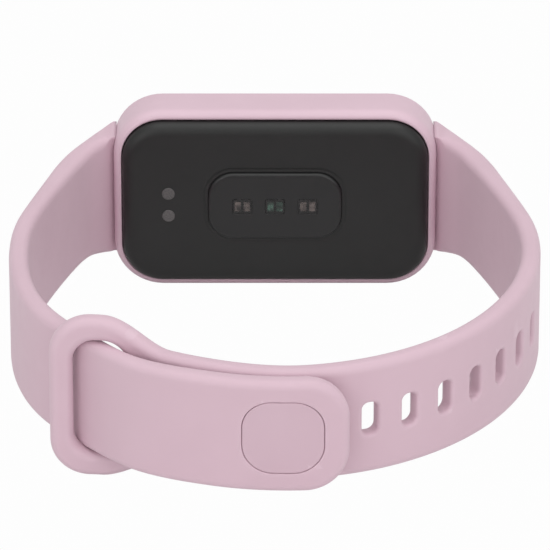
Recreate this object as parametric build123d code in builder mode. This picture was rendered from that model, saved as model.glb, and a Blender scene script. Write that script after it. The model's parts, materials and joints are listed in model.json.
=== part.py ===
from build123d import *
import os
from math import asin, cos, degrees, radians, sin, sqrt

# Fitness tracker band, closed into a ring and lying so that the wrist axis is vertical.
# Millimetres. x runs along the tracker's length, y from the clasp towards the screen,
# z along the wrist axis. The lower long side of the tracker is at z = 0.

os.makedirs("parts", exist_ok=True)

# ---------------------------------------------------------------- tracker body
MID_Z = 12.7            # half the case width, and the middle of every strap
CASE_LENGTH = 42.4
CASE_WIDTH = 25.4
CASE_CORNER = 6.45
CASE_BACK_Y = 29.05     # rim plane on the wrist side
CASE_FRONT_Y = 35.55    # rim plane on the screen side
CASE_BACK_ROUND = 1.1
CASE_FRONT_ROUND = 0.5
CAVITY_LENGTH = 36.0
CAVITY_WIDTH = 20.4
CAVITY_CORNER = 3.6
COVER_SEAT_Y = 30.05    # ledge that carries the gasket and the back cover

COVER_LENGTH = 40.1
COVER_WIDTH = 22.9
COVER_CORNER = 5.25
COVER_FACE_Y = 27.65
COVER_INNER_Y = 29.85
COVER_ROUND = 1.2
GROOVE_LENGTH = 18.9    # shallow moat around the sensor plateau
GROOVE_WIDTH = 10.8
GROOVE_CORNER = 3.95
GROOVE_DEPTH = 0.25

PLATEAU_LENGTH = 17.6
PLATEAU_WIDTH = 9.5
PLATEAU_CORNER = 3.3
PLATEAU_Y = 27.05
PLATEAU_ROUND = 0.45
OPTIC_X = 4.3           # distance of the outer optical windows from the middle one
OPTIC_LENGTH = 2.6
OPTIC_WIDTH = 2.2
OPTIC_CORNER = 0.35
OPTIC_INNER_Y = 28.95
OPTIC_SUNK = 0.03       # outer face of a window below the plateau
BARRIER_POCKET = (12.8, 4.0, 0.6)

CONTACT_X = -14.0
CONTACT_Z = 1.6
CONTACT_RADIUS = 0.85
CONTACT_FACE_Y = 27.57
CONTACT_FLANGE = (1.1, 0.3)      # radius and thickness of the hidden flange

GLASS_LENGTH = 41.2
GLASS_WIDTH = 23.9
GLASS_CORNER = 5.8
GLASS_INNER_Y = 35.7
GLASS_FACE_Y = 37.45
GLASS_ROUND = 1.7

SEAL_MARGIN = 0.3       # a gasket's inner edge clears the cavity by this much
FIT = 0.05              # play between pieces that are seated in one another

# ---------------------------------------------------------------- spring bars
POCKET_DEPTH = 2.4      # recess in each end wall that takes the strap lug
POCKET_HALF_WIDTH = 7.1
POCKET_Y = (31.3, 34.7)
POCKET_CORNER = 0.6
LUG_PLAY = 0.1          # between a lug and its pocket
LUG_DEPTH_PLAY = 0.15
LUG_TAIL_HALF_WIDTH = 5.2
BAR_X = 20.0
BAR_Y = 33.0
TUBE_RADIUS = 0.9
TUBE_BORE = 0.65
TUBE_HALF_LENGTH = 6.2
TIP_RADIUS = 0.4
TIP_HEAD_RADIUS = 0.6
TIP_REACH = 8.0         # resting end of a tip, measured from the middle of the case
TIP_HEAD_LENGTH = 0.9
TIP_TRAVEL = 1.1
TUBE_MOUTH = 0.3        # length of the narrow mouth at each end of a tube
SPRING_RADIUS = 0.45
SPRING_WIRE = 0.11
SPRING_TURNS = 7
SPRING_CLEAR = 0.15     # left between the coil and a pressed tip
TIP_HOLE_CLEAR = 0.15   # hole in the case past a resting tip

# ---------------------------------------------------------------- straps
RING_CENTRE_Y = 1.55    # the ring is an ellipse seen along the wrist axis
RING_OUTER = (33.7, 36.1)
STRAP_THICKNESS = 2.5
RING_INNER = (RING_OUTER[0] - STRAP_THICKNESS, RING_OUTER[1] - STRAP_THICKNESS)
STRAP_HALF_WIDTH = 7.6
ROOT_HALF_WIDTH = 8.7
ROOT_FLARE_Y = (27.5, 34.2)  # where the strap starts and stops widening
ROOT_TOP_Y = 37.0
ROOT_X = 21.3
ROOT_OUTER_Y = 35.9
ROOT_INNER_Y = 30.9
SHOULDER_Y = 12.65      # height where the ellipse hands over to the straighter shoulder
RING_EDGE_ROUND = 0.7

SLOT_COUNT = 9
SLOT_PITCH = 5.5
SLOT_LENGTH = 2.0
SLOT_WIDTH = 4.3
SLOT_CORNER = 0.9
STUD_X = 1.0

LOOP_HALF_WIDTH = 10.9
LOOP_INNER_Y = -24.7
LOOP_END_X = -27.8
LOOP_CORNER = 5.0
OPENING_X = (-24.9, -17.6)
OPENING_HALF_WIDTH = 7.8
OPENING_END_CORNER = 1.9    # at the closed end of the loop
OPENING_STRAP_CORNER = 3.5  # where the loop narrows into the strap
OPENING_ROUND = 0.7
FLARE_X = (-21.2, -13.0)

TONGUE_CENTRE = (1.5, -2.45)
TONGUE_RADIUS = 35.0
TONGUE_THICKNESS = 2.65
TONGUE_START_X = -9.5
TONGUE_END_X = 9.3
TONGUE_CORNER = 5.4

PEEL_AXIS = (-19.25, -29.01)     # where the tongue folds away from the loop
CURL_AXIS = (-7.42, -34.92)     # where its tip curls
PEEL_HEADING = (0.68, -0.73)
CURL_HEADING = (0.965, -0.262)
PEEL_KNUCKLE = 1.12
CURL_KNUCKLE = 1.27
KNUCKLE_PLAY = 0.15

CAP_LENGTH = 9.7
CAP_WIDTH = 9.65
CAP_CORNER = 3.65
CAP_THICKNESS = 1.0
CAP_GROOVE = 0.17
NECK = (1.2, 3.6)
HEAD = (1.6, 3.9)
HEAD_Y = (-34.3, -31.8)
POST_CORNER = 0.45


def across(y):
    """Plane square to the y axis, centred on the case, looking towards the screen."""
    return Plane(origin=(0, y, MID_Z), x_dir=(1, 0, 0), z_dir=(0, 1, 0))


def keep(builder, name):
    """Names a finished piece and writes its file."""
    builder.part.label = name
    export_step(builder.part, "parts/" + name + ".step")


# ================================================================ tracker shell
with BuildPart() as tracker_case:
    with BuildSketch(across(CASE_BACK_Y)):
        RectangleRounded(CASE_LENGTH, CASE_WIDTH, CASE_CORNER)
    extrude(amount=CASE_FRONT_Y - CASE_BACK_Y)
    fillet(tracker_case.edges().group_by(Axis.Y)[0], CASE_BACK_ROUND)
    fillet(tracker_case.edges().group_by(Axis.Y)[-1], CASE_FRONT_ROUND)
    with BuildSketch(across(CASE_BACK_Y)):
        RectangleRounded(CAVITY_LENGTH, CAVITY_WIDTH, CAVITY_CORNER)
    extrude(amount=CASE_FRONT_Y - CASE_BACK_Y, mode=Mode.SUBTRACT)
    with BuildSketch(across(CASE_BACK_Y)):
        RectangleRounded(COVER_LENGTH + 2 * FIT, COVER_WIDTH + 2 * FIT, COVER_CORNER + FIT)
    extrude(amount=COVER_SEAT_Y - CASE_BACK_Y, mode=Mode.SUBTRACT)
    pocket_height = POCKET_Y[1] - POCKET_Y[0]
    pocket_middle = (POCKET_Y[0] + POCKET_Y[1]) / 2
    for side in (-1, 1):
        pocket_x = side * (CASE_LENGTH / 2 - POCKET_DEPTH)
        with BuildSketch(Plane(origin=(pocket_x, pocket_middle, MID_Z), x_dir=(0, 1, 0), z_dir=(side, 0, 0))):
            RectangleRounded(pocket_height, 2 * POCKET_HALF_WIDTH, POCKET_CORNER)
        extrude(amount=POCKET_DEPTH + 0.1, mode=Mode.SUBTRACT)
        with BuildSketch(Plane(origin=(side * BAR_X, BAR_Y, MID_Z), x_dir=(1, 0, 0), z_dir=(0, 0, 1))):
            Circle(TIP_RADIUS + FIT)
        extrude(amount=TIP_REACH + TIP_HOLE_CLEAR, both=True, mode=Mode.SUBTRACT)
keep(tracker_case, "tracker_case")

with BuildPart() as back_cover:
    with BuildSketch(across(COVER_FACE_Y)):
        RectangleRounded(COVER_LENGTH, COVER_WIDTH, COVER_CORNER)
    extrude(amount=COVER_INNER_Y - COVER_FACE_Y)
    fillet(back_cover.edges().group_by(Axis.Y)[0], COVER_ROUND)
    with BuildSketch(across(COVER_FACE_Y)):
        RectangleRounded(GROOVE_LENGTH, GROOVE_WIDTH, GROOVE_CORNER)
    extrude(amount=GROOVE_DEPTH, mode=Mode.SUBTRACT)
    with BuildSketch(across(COVER_FACE_Y)):
        RectangleRounded(PLATEAU_LENGTH + 2 * FIT, PLATEAU_WIDTH + 2 * FIT, PLATEAU_CORNER + FIT)
        with Locations((CONTACT_X, CONTACT_Z), (CONTACT_X, -CONTACT_Z)):
            Circle(CONTACT_RADIUS + FIT / 2)
    extrude(amount=COVER_INNER_Y - COVER_FACE_Y, mode=Mode.SUBTRACT)
keep(back_cover, "back_cover")

with BuildPart() as sensor_window:
    with BuildSketch(across(PLATEAU_Y)):
        RectangleRounded(PLATEAU_LENGTH, PLATEAU_WIDTH, PLATEAU_CORNER)
    extrude(amount=COVER_INNER_Y - PLATEAU_Y)
    fillet(sensor_window.edges().group_by(Axis.Y)[0], PLATEAU_ROUND)
    with BuildSketch(across(OPTIC_INNER_Y)):
        RectangleRounded(*BARRIER_POCKET)
    extrude(amount=COVER_INNER_Y - OPTIC_INNER_Y, mode=Mode.SUBTRACT)
    with BuildSketch(across(PLATEAU_Y)):
        with GridLocations(OPTIC_X, 0, 3, 1):
            RectangleRounded(OPTIC_LENGTH, OPTIC_WIDTH, OPTIC_CORNER)
    extrude(amount=COVER_INNER_Y - PLATEAU_Y, mode=Mode.SUBTRACT)
keep(sensor_window, "sensor_window")

with BuildPart() as optical_windows:
    with BuildSketch(across(PLATEAU_Y + OPTIC_SUNK)):
        with GridLocations(OPTIC_X, 0, 3, 1):
            RectangleRounded(OPTIC_LENGTH - FIT, OPTIC_WIDTH - FIT, OPTIC_CORNER)
    extrude(amount=OPTIC_INNER_Y - PLATEAU_Y - FIT)
keep(optical_windows, "optical_windows")

SEAL_OPENING = (CAVITY_LENGTH + 2 * SEAL_MARGIN, CAVITY_WIDTH + 2 * SEAL_MARGIN, CAVITY_CORNER + SEAL_MARGIN)
FRONT_SEAL_INSET = 0.7  # outer edge of the front gasket, in from the edge of the glass
BACK_SEAL_INSET = 0.15

with BuildPart() as back_seal:
    with BuildSketch(across(COVER_INNER_Y)):
        RectangleRounded(
            COVER_LENGTH - 2 * BACK_SEAL_INSET,
            COVER_WIDTH - 2 * BACK_SEAL_INSET,
            COVER_CORNER - BACK_SEAL_INSET,
        )
        RectangleRounded(*SEAL_OPENING, mode=Mode.SUBTRACT)
    extrude(amount=COVER_SEAT_Y - COVER_INNER_Y)
keep(back_seal, "back_seal")

with BuildPart() as front_seal:
    with BuildSketch(across(CASE_FRONT_Y)):
        RectangleRounded(
            GLASS_LENGTH - 2 * FRONT_SEAL_INSET,
            GLASS_WIDTH - 2 * FRONT_SEAL_INSET,
            GLASS_CORNER - FRONT_SEAL_INSET,
        )
        RectangleRounded(*SEAL_OPENING, mode=Mode.SUBTRACT)
    extrude(amount=GLASS_INNER_Y - CASE_FRONT_Y)
keep(front_seal, "front_seal")

with BuildPart() as front_glass:
    with BuildSketch(across(GLASS_INNER_Y)):
        RectangleRounded(GLASS_LENGTH, GLASS_WIDTH, GLASS_CORNER)
    extrude(amount=GLASS_FACE_Y - GLASS_INNER_Y)
    fillet(front_glass.edges().group_by(Axis.Y)[-1], GLASS_ROUND)
keep(front_glass, "front_glass")

# ================================================================ inside the case
DISPLAY_Y = (34.5, 35.65)
CHASSIS_Y = (31.9, 34.45)
CHASSIS_WALL = 1.1
PLATE = 0.5
DISPLAY_SIZE = (31.0, 17.2, 1.6)        # length, width and corner radius
SCREW_X = 16.1
SCREW_Z = 8.4
SCREW_POST_RADIUS = 1.3
SCREW_HOLE_RADIUS = 0.5
SCREW_HEAD_Y = 31.45
SCREW_HEAD_RADIUS = 0.9
SCREW_SLOT = (1.1, 0.25)
SCREW_THREAD = (0.48, 2.0)              # radius and length
FLEX_PLACE = (15.2, 6.2)
FLEX_SIZE = (0.2, 4.0)
FLEX_SLOT = (0.5, 4.4)

with BuildPart() as display_panel:
    with BuildSketch(across(DISPLAY_Y[0])):
        RectangleRounded(*DISPLAY_SIZE)
    extrude(amount=DISPLAY_Y[1] - DISPLAY_Y[0])
keep(display_panel, "display_panel")

with BuildPart() as inner_chassis:
    with BuildSketch(across(CHASSIS_Y[0])):
        RectangleRounded(CAVITY_LENGTH - 0.1, CAVITY_WIDTH - 0.1, CAVITY_CORNER - 0.05)
    extrude(amount=CHASSIS_Y[1] - CHASSIS_Y[0])
    with BuildSketch(across(CHASSIS_Y[0])):
        RectangleRounded(CAVITY_LENGTH - 2 * CHASSIS_WALL, CAVITY_WIDTH - 2 * CHASSIS_WALL, CAVITY_CORNER - 1)
    extrude(amount=CHASSIS_Y[1] - CHASSIS_Y[0] - PLATE, mode=Mode.SUBTRACT)
    with BuildSketch(across(CHASSIS_Y[0])):
        with GridLocations(2 * SCREW_X, 2 * SCREW_Z, 2, 2):
            Circle(SCREW_POST_RADIUS)
    extrude(amount=CHASSIS_Y[1] - CHASSIS_Y[0])
    with BuildSketch(across(CHASSIS_Y[0])):
        with GridLocations(2 * SCREW_X, 2 * SCREW_Z, 2, 2):
            Circle(SCREW_HOLE_RADIUS)
        with Locations(FLEX_PLACE):
            Rectangle(*FLEX_SLOT)
    extrude(amount=CHASSIS_Y[1] - CHASSIS_Y[0], mode=Mode.SUBTRACT)
    with BuildSketch(across(CHASSIS_Y[0])):
        RectangleRounded(CAVITY_LENGTH, CAVITY_WIDTH, CAVITY_CORNER)
    extrude(amount=CHASSIS_Y[1] - CHASSIS_Y[0], mode=Mode.INTERSECT)
keep(inner_chassis, "inner_chassis")

with BuildPart() as chassis_screws:
    with BuildSketch(across(SCREW_HEAD_Y)):
        with GridLocations(2 * SCREW_X, 2 * SCREW_Z, 2, 2):
            Circle(SCREW_HEAD_RADIUS)
            Rectangle(*SCREW_SLOT, mode=Mode.SUBTRACT)
    extrude(amount=CHASSIS_Y[0] - SCREW_HEAD_Y)
    with BuildSketch(across(CHASSIS_Y[0])):
        with GridLocations(2 * SCREW_X, 2 * SCREW_Z, 2, 2):
            Circle(SCREW_THREAD[0])
    extrude(amount=SCREW_THREAD[1])
keep(chassis_screws, "chassis_screws")

BATTERY_MIDDLE_X = -5.2
BATTERY_SIZE = (18.4, 14.6, 1.0)        # length, width and corner radius
BATTERY_Y = (31.1, 33.8)
BATTERY_ROUND = 0.5
with BuildPart() as battery:
    with BuildSketch(across(BATTERY_Y[0])):
        with Locations((BATTERY_MIDDLE_X, 0)):
            RectangleRounded(*BATTERY_SIZE)
    extrude(amount=BATTERY_Y[1] - BATTERY_Y[0])
    fillet(battery.edges().group_by(Axis.Y)[0] + battery.edges().group_by(Axis.Y)[-1], BATTERY_ROUND)
keep(battery, "battery")

BOARD_Y = (30.7, 31.3)
BOARD_MIDDLE_X = 11.1
BOARD_SIZE = (13.0, 19.0, 1.8)
CHIP_HEIGHT = 0.8
CHIPS = (                               # middle x and z, then length and width
    (8.2, -5.6, 4.2, 4.2),
    (12.6, -6.4, 2.4, 2.0),
    (12.6, -3.2, 1.6, 1.2),
    (6.2, 4.4, 1.2, 2.4),
)
with BuildPart() as main_board:
    with BuildSketch(across(BOARD_Y[0])):
        with Locations((BOARD_MIDDLE_X, 0)):
            RectangleRounded(*BOARD_SIZE)
    extrude(amount=BOARD_Y[1] - BOARD_Y[0])
keep(main_board, "main_board")

with BuildPart() as board_chips:
    with BuildSketch(across(BOARD_Y[1])):
        for chip_x, chip_z, chip_length, chip_width in CHIPS:
            with Locations((chip_x, -chip_z)):
                Rectangle(chip_length, chip_width)
    extrude(amount=CHIP_HEIGHT)
keep(board_chips, "board_chips")

with BuildPart() as display_flex:
    with BuildSketch(across(BOARD_Y[1])):
        with Locations(FLEX_PLACE):
            Rectangle(*FLEX_SIZE)
    extrude(amount=DISPLAY_Y[0] - BOARD_Y[1])
keep(display_flex, "display_flex")

# ---------------------------------------------------------------- heart rate optics
SENSOR_BOARD_Y = (30.4, 30.9)
SENSOR_BOARD_SIZE = (12.6, 6.4, 0.8)
SENSOR_BOARD_X = -1.9
LED_Y = 29.3
LED_SIZE = (1.3, 1.1)
DIODE_Y = 29.5
DIODE_SIZE = (0.8, 1.3)
DIODE_PITCH = 1.1
DIODE_SHIFT = 0.45      # the second pair sits this much nearer the middle
CONTACT_FLEX_Y = (30.2, 30.32)
with BuildPart() as sensor_board:
    with BuildSketch(across(SENSOR_BOARD_Y[0])):
        with Locations((SENSOR_BOARD_X, 0)):
            RectangleRounded(*SENSOR_BOARD_SIZE)
    extrude(amount=SENSOR_BOARD_Y[1] - SENSOR_BOARD_Y[0])
keep(sensor_board, "sensor_board")

with BuildPart() as green_led:
    with BuildSketch(across(LED_Y)):
        Rectangle(*LED_SIZE)
    extrude(amount=SENSOR_BOARD_Y[0] - LED_Y)
keep(green_led, "green_led")

with BuildPart() as photodiodes:
    with BuildSketch(across(DIODE_Y)):
        with Locations((-OPTIC_X, 0), (OPTIC_X - DIODE_SHIFT, 0)):
            with GridLocations(DIODE_PITCH, 0, 2, 1):
                Rectangle(*DIODE_SIZE)
    extrude(amount=SENSOR_BOARD_Y[0] - DIODE_Y)
keep(photodiodes, "photodiodes")

with BuildPart() as light_barrier:
    with BuildSketch(across(OPTIC_INNER_Y)):
        RectangleRounded(BARRIER_POCKET[0] - 2 * FIT, BARRIER_POCKET[1] - 2 * FIT, BARRIER_POCKET[2] - FIT)
        with GridLocations(OPTIC_X, 0, 3, 1):
            Rectangle(OPTIC_LENGTH + 0.2, OPTIC_WIDTH, mode=Mode.SUBTRACT)
    extrude(amount=SENSOR_BOARD_Y[0] - FIT - OPTIC_INNER_Y)
keep(light_barrier, "light_barrier")

with BuildPart() as charge_contacts:
    with BuildSketch(across(CONTACT_FACE_Y)):
        with Locations((CONTACT_X, CONTACT_Z), (CONTACT_X, -CONTACT_Z)):
            Circle(CONTACT_RADIUS)
    extrude(amount=COVER_INNER_Y - CONTACT_FACE_Y)
    fillet(charge_contacts.edges().group_by(Axis.Y)[0], 0.08)
    with BuildSketch(across(COVER_INNER_Y)):
        with Locations((CONTACT_X, CONTACT_Z), (CONTACT_X, -CONTACT_Z)):
            Circle(CONTACT_FLANGE[0])
    extrude(amount=CONTACT_FLANGE[1])
keep(charge_contacts, "charge_contacts")

with BuildPart() as contact_flex:
    with BuildSketch(across(CONTACT_FLEX_Y[0])):
        with BuildLine():
            Polyline(
                (-15.1, -2.6), (-12.9, -2.6), (-12.9, 5.0), (6.0, 5.0), (6.0, 7.0), (-15.1, 7.0), close=True
            )
        make_face()
    extrude(amount=CONTACT_FLEX_Y[1] - CONTACT_FLEX_Y[0])
keep(contact_flex, "contact_flex")

# ---------------------------------------------------------------- vibration motor
MOTOR_X = 12.5
MOTOR_Z = 3.9
MOTOR_Y = (31.35, 33.85)
MOTOR_RADIUS = 4.0
MOTOR_WALL = 0.25
MOTOR_ROUND = 0.3
SHAFT_RADIUS = 0.38
SHAFT_INSET = 0.15      # each end of the shaft sits this far into the motor's wall
SHAFT_BORE = 0.4
ROTOR_RADIUS = 3.4      # heavy half disc
ROTOR_HUB = 1.3
ROTOR_BORE = 0.45
ROTOR_GAP = 0.6
ROTOR_THICKNESS = 1.3
ROTOR_ANGLES = (20, 160)
motor_length = MOTOR_Y[1] - MOTOR_Y[0]
motor_plane = Plane(origin=(MOTOR_X, MOTOR_Y[0], MID_Z + MOTOR_Z), x_dir=(1, 0, 0), z_dir=(0, 1, 0))

with BuildPart() as motor_case:
    with BuildSketch(motor_plane):
        Circle(MOTOR_RADIUS)
    extrude(amount=motor_length)
    fillet(motor_case.edges().group_by(Axis.Y)[-1], MOTOR_ROUND)
    with BuildSketch(motor_plane.offset(MOTOR_WALL)):
        Circle(MOTOR_RADIUS - MOTOR_WALL)
        Circle(SHAFT_BORE, mode=Mode.SUBTRACT)
    extrude(amount=motor_length - 2 * MOTOR_WALL, mode=Mode.SUBTRACT)
    with BuildSketch(motor_plane.offset(SHAFT_INSET)):
        Circle(SHAFT_BORE)
    extrude(amount=motor_length - 2 * SHAFT_INSET, mode=Mode.SUBTRACT)
keep(motor_case, "motor_case")

with BuildPart() as motor_shaft:
    with BuildSketch(motor_plane.offset(SHAFT_INSET)):
        Circle(SHAFT_RADIUS)
    extrude(amount=motor_length - 2 * SHAFT_INSET)
keep(motor_shaft, "motor_shaft")

with BuildPart() as motor_rotor:
    with BuildSketch(motor_plane.offset(ROTOR_GAP)):
        with BuildLine():
            CenterArc((0, 0), ROTOR_RADIUS, ROTOR_ANGLES[0], ROTOR_ANGLES[1] - ROTOR_ANGLES[0])
            PolarLine((0, 0), ROTOR_RADIUS, ROTOR_ANGLES[0])
            PolarLine((0, 0), ROTOR_RADIUS, ROTOR_ANGLES[1])
        make_face()
        Circle(ROTOR_HUB)
        Circle(ROTOR_BORE, mode=Mode.SUBTRACT)
    extrude(amount=ROTOR_THICKNESS)
keep(motor_rotor, "motor_rotor")


# ================================================================ spring bars
def bar_plane(side, height):
    """Plane square to a spring bar, a given height above the middle of the case."""
    return Plane(origin=(side * BAR_X, BAR_Y, MID_Z + height), x_dir=(1, 0, 0), z_dir=(0, 0, 1))


def connector(side):
    """Rigid lug that carries the spring bar and is moulded into the strap root."""
    with BuildPart() as lug:
        lug_x = side * (CASE_LENGTH / 2 - POCKET_DEPTH + LUG_DEPTH_PLAY)
        with BuildSketch(Plane(origin=(lug_x, pocket_middle, MID_Z), x_dir=(0, 1, 0), z_dir=(side, 0, 0))):
            RectangleRounded(
                pocket_height - 2 * LUG_PLAY, 2 * (POCKET_HALF_WIDTH - 2 * LUG_PLAY), POCKET_CORNER - LUG_PLAY
            )
        extrude(amount=POCKET_DEPTH - LUG_DEPTH_PLAY)
        with BuildSketch(Plane.XY.offset(MID_Z)):
            with BuildLine():
                Polyline(
                    (side * 21.0, 34.1),
                    (side * 21.0, 32.4),
                    (side * 23.7, 29.7),
                    (side * 24.4, 30.9),
                    close=True,
                )
            make_face()
        extrude(amount=LUG_TAIL_HALF_WIDTH, both=True)
        with BuildSketch(bar_plane(side, 0)):
            Circle(TUBE_RADIUS)
        extrude(amount=POCKET_HALF_WIDTH, both=True, mode=Mode.SUBTRACT)
    return lug


def bar_tube(side):
    """Tube of a spring bar, with a narrower mouth at each end that keeps the tips in."""
    with BuildPart() as tube:
        with BuildSketch(bar_plane(side, 0)):
            Circle(TUBE_RADIUS)
        extrude(amount=TUBE_HALF_LENGTH, both=True)
        with BuildSketch(bar_plane(side, 0)):
            Circle(TUBE_BORE)
        extrude(amount=TUBE_HALF_LENGTH - TUBE_MOUTH, both=True, mode=Mode.SUBTRACT)
        with BuildSketch(bar_plane(side, 0)):
            Circle(TIP_RADIUS + FIT)
        extrude(amount=TUBE_HALF_LENGTH, both=True, mode=Mode.SUBTRACT)
    return tube


def bar_tip(side, end):
    """Sprung tip of a spring bar: end = 1 is the upper tip, end = -1 the lower one."""
    head = TUBE_HALF_LENGTH - TUBE_MOUTH - TIP_HEAD_LENGTH
    with BuildPart() as tip:
        with BuildSketch(bar_plane(side, end * head)):
            Circle(TIP_HEAD_RADIUS)
        extrude(amount=end * (TIP_HEAD_LENGTH - 0.02))
        with BuildSketch(bar_plane(side, end * head)):
            Circle(TIP_RADIUS)
        extrude(amount=end * (TIP_REACH - head))
    return tip


def bar_spring(side):
    """Coil between the two tips, drawn at its compressed length so that it stays clear of them."""
    reach = TUBE_HALF_LENGTH - TUBE_MOUTH - TIP_HEAD_LENGTH - TIP_TRAVEL - SPRING_CLEAR
    pitch = 2 * reach / SPRING_TURNS
    with BuildPart() as coil:
        with BuildLine():
            Helix(
                pitch=pitch,
                height=2 * reach,
                radius=SPRING_RADIUS,
                center=(side * BAR_X, BAR_Y, MID_Z - reach),
            )
        with BuildSketch(
            Plane(
                origin=(side * BAR_X + SPRING_RADIUS, BAR_Y, MID_Z - reach), x_dir=(1, 0, 0), z_dir=(0, 1, 0)
            )
        ):
            Circle(SPRING_WIRE)
        sweep(is_frenet=True)
    return coil


for side, word in ((-1, "left"), (1, "right")):
    keep(connector(side), word + "_connector")
    keep(bar_tube(side), word + "_bar_tube")
    keep(bar_tip(side, 1), word + "_bar_tip_upper")
    keep(bar_tip(side, -1), word + "_bar_tip_lower")
    keep(bar_spring(side), word + "_bar_spring")


# ================================================================ straps
SHOULDER_ANGLE = degrees(asin((SHOULDER_Y - RING_CENTRE_Y) / RING_OUTER[1]))


def ring_point(side, radii, angle):
    """Point of a ring ellipse at a parameter angle, and the unit direction of growing angle."""
    point = (side * radii[0] * cos(radians(angle)), RING_CENTRE_Y + radii[1] * sin(radians(angle)))
    heading = Vector(-side * radii[0] * sin(radians(angle)), radii[1] * cos(radians(angle))).normalized()
    return point, heading


def shoulders(side):
    """Outer and inner strap faces between the case and the elliptical part of the ring."""
    outer_start, outer_heading = ring_point(side, RING_OUTER, SHOULDER_ANGLE)
    inner_start, inner_heading = ring_point(side, RING_INNER, SHOULDER_ANGLE)
    outer = Spline(
        outer_start,
        (side * 29.35, 22.15),
        (side * 26.35, 29.35),
        (side * ROOT_X, ROOT_OUTER_Y),
        tangents=(outer_heading, (side * -0.74, 0.67)),
    )
    inner = Spline(
        inner_start,
        (side * 26.74, 21.15),
        (side * 23.9, 27.9),
        (side * ROOT_X, ROOT_INNER_Y),
        tangents=(inner_heading, (side * -0.72, 0.69)),
    )
    Line(outer @ 1, inner @ 1)


def ring_face(radii, angle):
    """Right-hand ring face from the shoulder down to a parameter angle past the bottom right."""
    return EllipticalCenterArc(
        (0, RING_CENTRE_Y), radii[0], radii[1], start_angle=SHOULDER_ANGLE, arc_size=angle - SHOULDER_ANGLE
    )


# ---------------------------------------------------------------- hole strap and its loop
LOOP_START_ANGLE = -degrees(asin(sqrt(1 - (3.0 / RING_OUTER[0]) ** 2)))

with BuildPart() as hole_strap_width:
    with BuildSketch(Plane(origin=(0, 0, MID_Z), x_dir=(1, 0, 0), z_dir=(0, -1, 0))):
        with BuildLine():
            for up in (1, -1):
                Spline(
                    (FLARE_X[1], up * STRAP_HALF_WIDTH),
                    (FLARE_X[0], up * LOOP_HALF_WIDTH),
                    tangents=((-1, 0), (-1, 0)),
                    tangent_scalars=(0.9, 0.9),
                )
                Line((FLARE_X[0], up * LOOP_HALF_WIDTH), (LOOP_END_X + LOOP_CORNER, up * LOOP_HALF_WIDTH))
                RadiusArc(
                    (LOOP_END_X + LOOP_CORNER, up * LOOP_HALF_WIDTH),
                    (LOOP_END_X, up * (LOOP_HALF_WIDTH - LOOP_CORNER)),
                    -up * LOOP_CORNER,
                )
                Line((FLARE_X[1], up * STRAP_HALF_WIDTH), (RING_OUTER[0] + 1, up * STRAP_HALF_WIDTH))
            Line((LOOP_END_X, LOOP_HALF_WIDTH - LOOP_CORNER), (LOOP_END_X, LOOP_CORNER - LOOP_HALF_WIDTH))
            Line((RING_OUTER[0] + 1, STRAP_HALF_WIDTH), (RING_OUTER[0] + 1, -STRAP_HALF_WIDTH))
        make_face()
    extrude(amount=40)


def root_width():
    """Side view of a strap above the middle of the ring: straight, then flared at its root."""
    with BuildPart() as block:
        with BuildSketch(Plane(origin=(0, 0, MID_Z), x_dir=(0, 1, 0), z_dir=(1, 0, 0))):
            with BuildLine():
                for up in (1, -1):
                    Line((0, up * STRAP_HALF_WIDTH), (ROOT_FLARE_Y[0], up * STRAP_HALF_WIDTH))
                    Spline(
                        (ROOT_FLARE_Y[0], up * STRAP_HALF_WIDTH),
                        (ROOT_FLARE_Y[1], up * ROOT_HALF_WIDTH),
                        tangents=((1, 0), (1, 0)),
                    )
                    Line((ROOT_FLARE_Y[1], up * ROOT_HALF_WIDTH), (ROOT_TOP_Y, up * ROOT_HALF_WIDTH))
                Line((0, STRAP_HALF_WIDTH), (0, -STRAP_HALF_WIDTH))
                Line((ROOT_TOP_Y, ROOT_HALF_WIDTH), (ROOT_TOP_Y, -ROOT_HALF_WIDTH))
            make_face()
        extrude(amount=36, both=True)
    return block.part


def soft_edges(builder):
    """Edges that run along the faces of a strap, without those across its thickness or at its root."""
    chosen = []
    for edge in builder.edges():
        straight = edge.geom_type == GeomType.LINE
        upright = straight and abs((edge % 0.5).Z) > 0.99
        across_thickness = straight and not upright and abs((edge % 0.5).Y) > 0.3 and edge.length < 3.5
        at_root = abs(abs(edge.center().X) - ROOT_X) < 0.2
        seam = upright and edge.center().X > OPENING_X[0] + 0.2
        if not (across_thickness or at_root or seam):
            chosen.append(edge)
    return chosen


def inside_opening(edge):
    """True for the edges around the opening of the loop."""
    box = edge.bounding_box()
    return (
        box.min.X > OPENING_X[0] - 0.2
        and box.max.X < OPENING_X[1] + 0.2
        and box.max.Z - MID_Z < OPENING_HALF_WIDTH + 0.1
        and MID_Z - box.min.Z < OPENING_HALF_WIDTH + 0.1
    )


with BuildLine(mode=Mode.PRIVATE) as slot_path:
    EllipticalCenterArc((0, RING_CENTRE_Y), RING_OUTER[0], RING_OUTER[1], start_angle=-90, arc_size=90)

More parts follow.
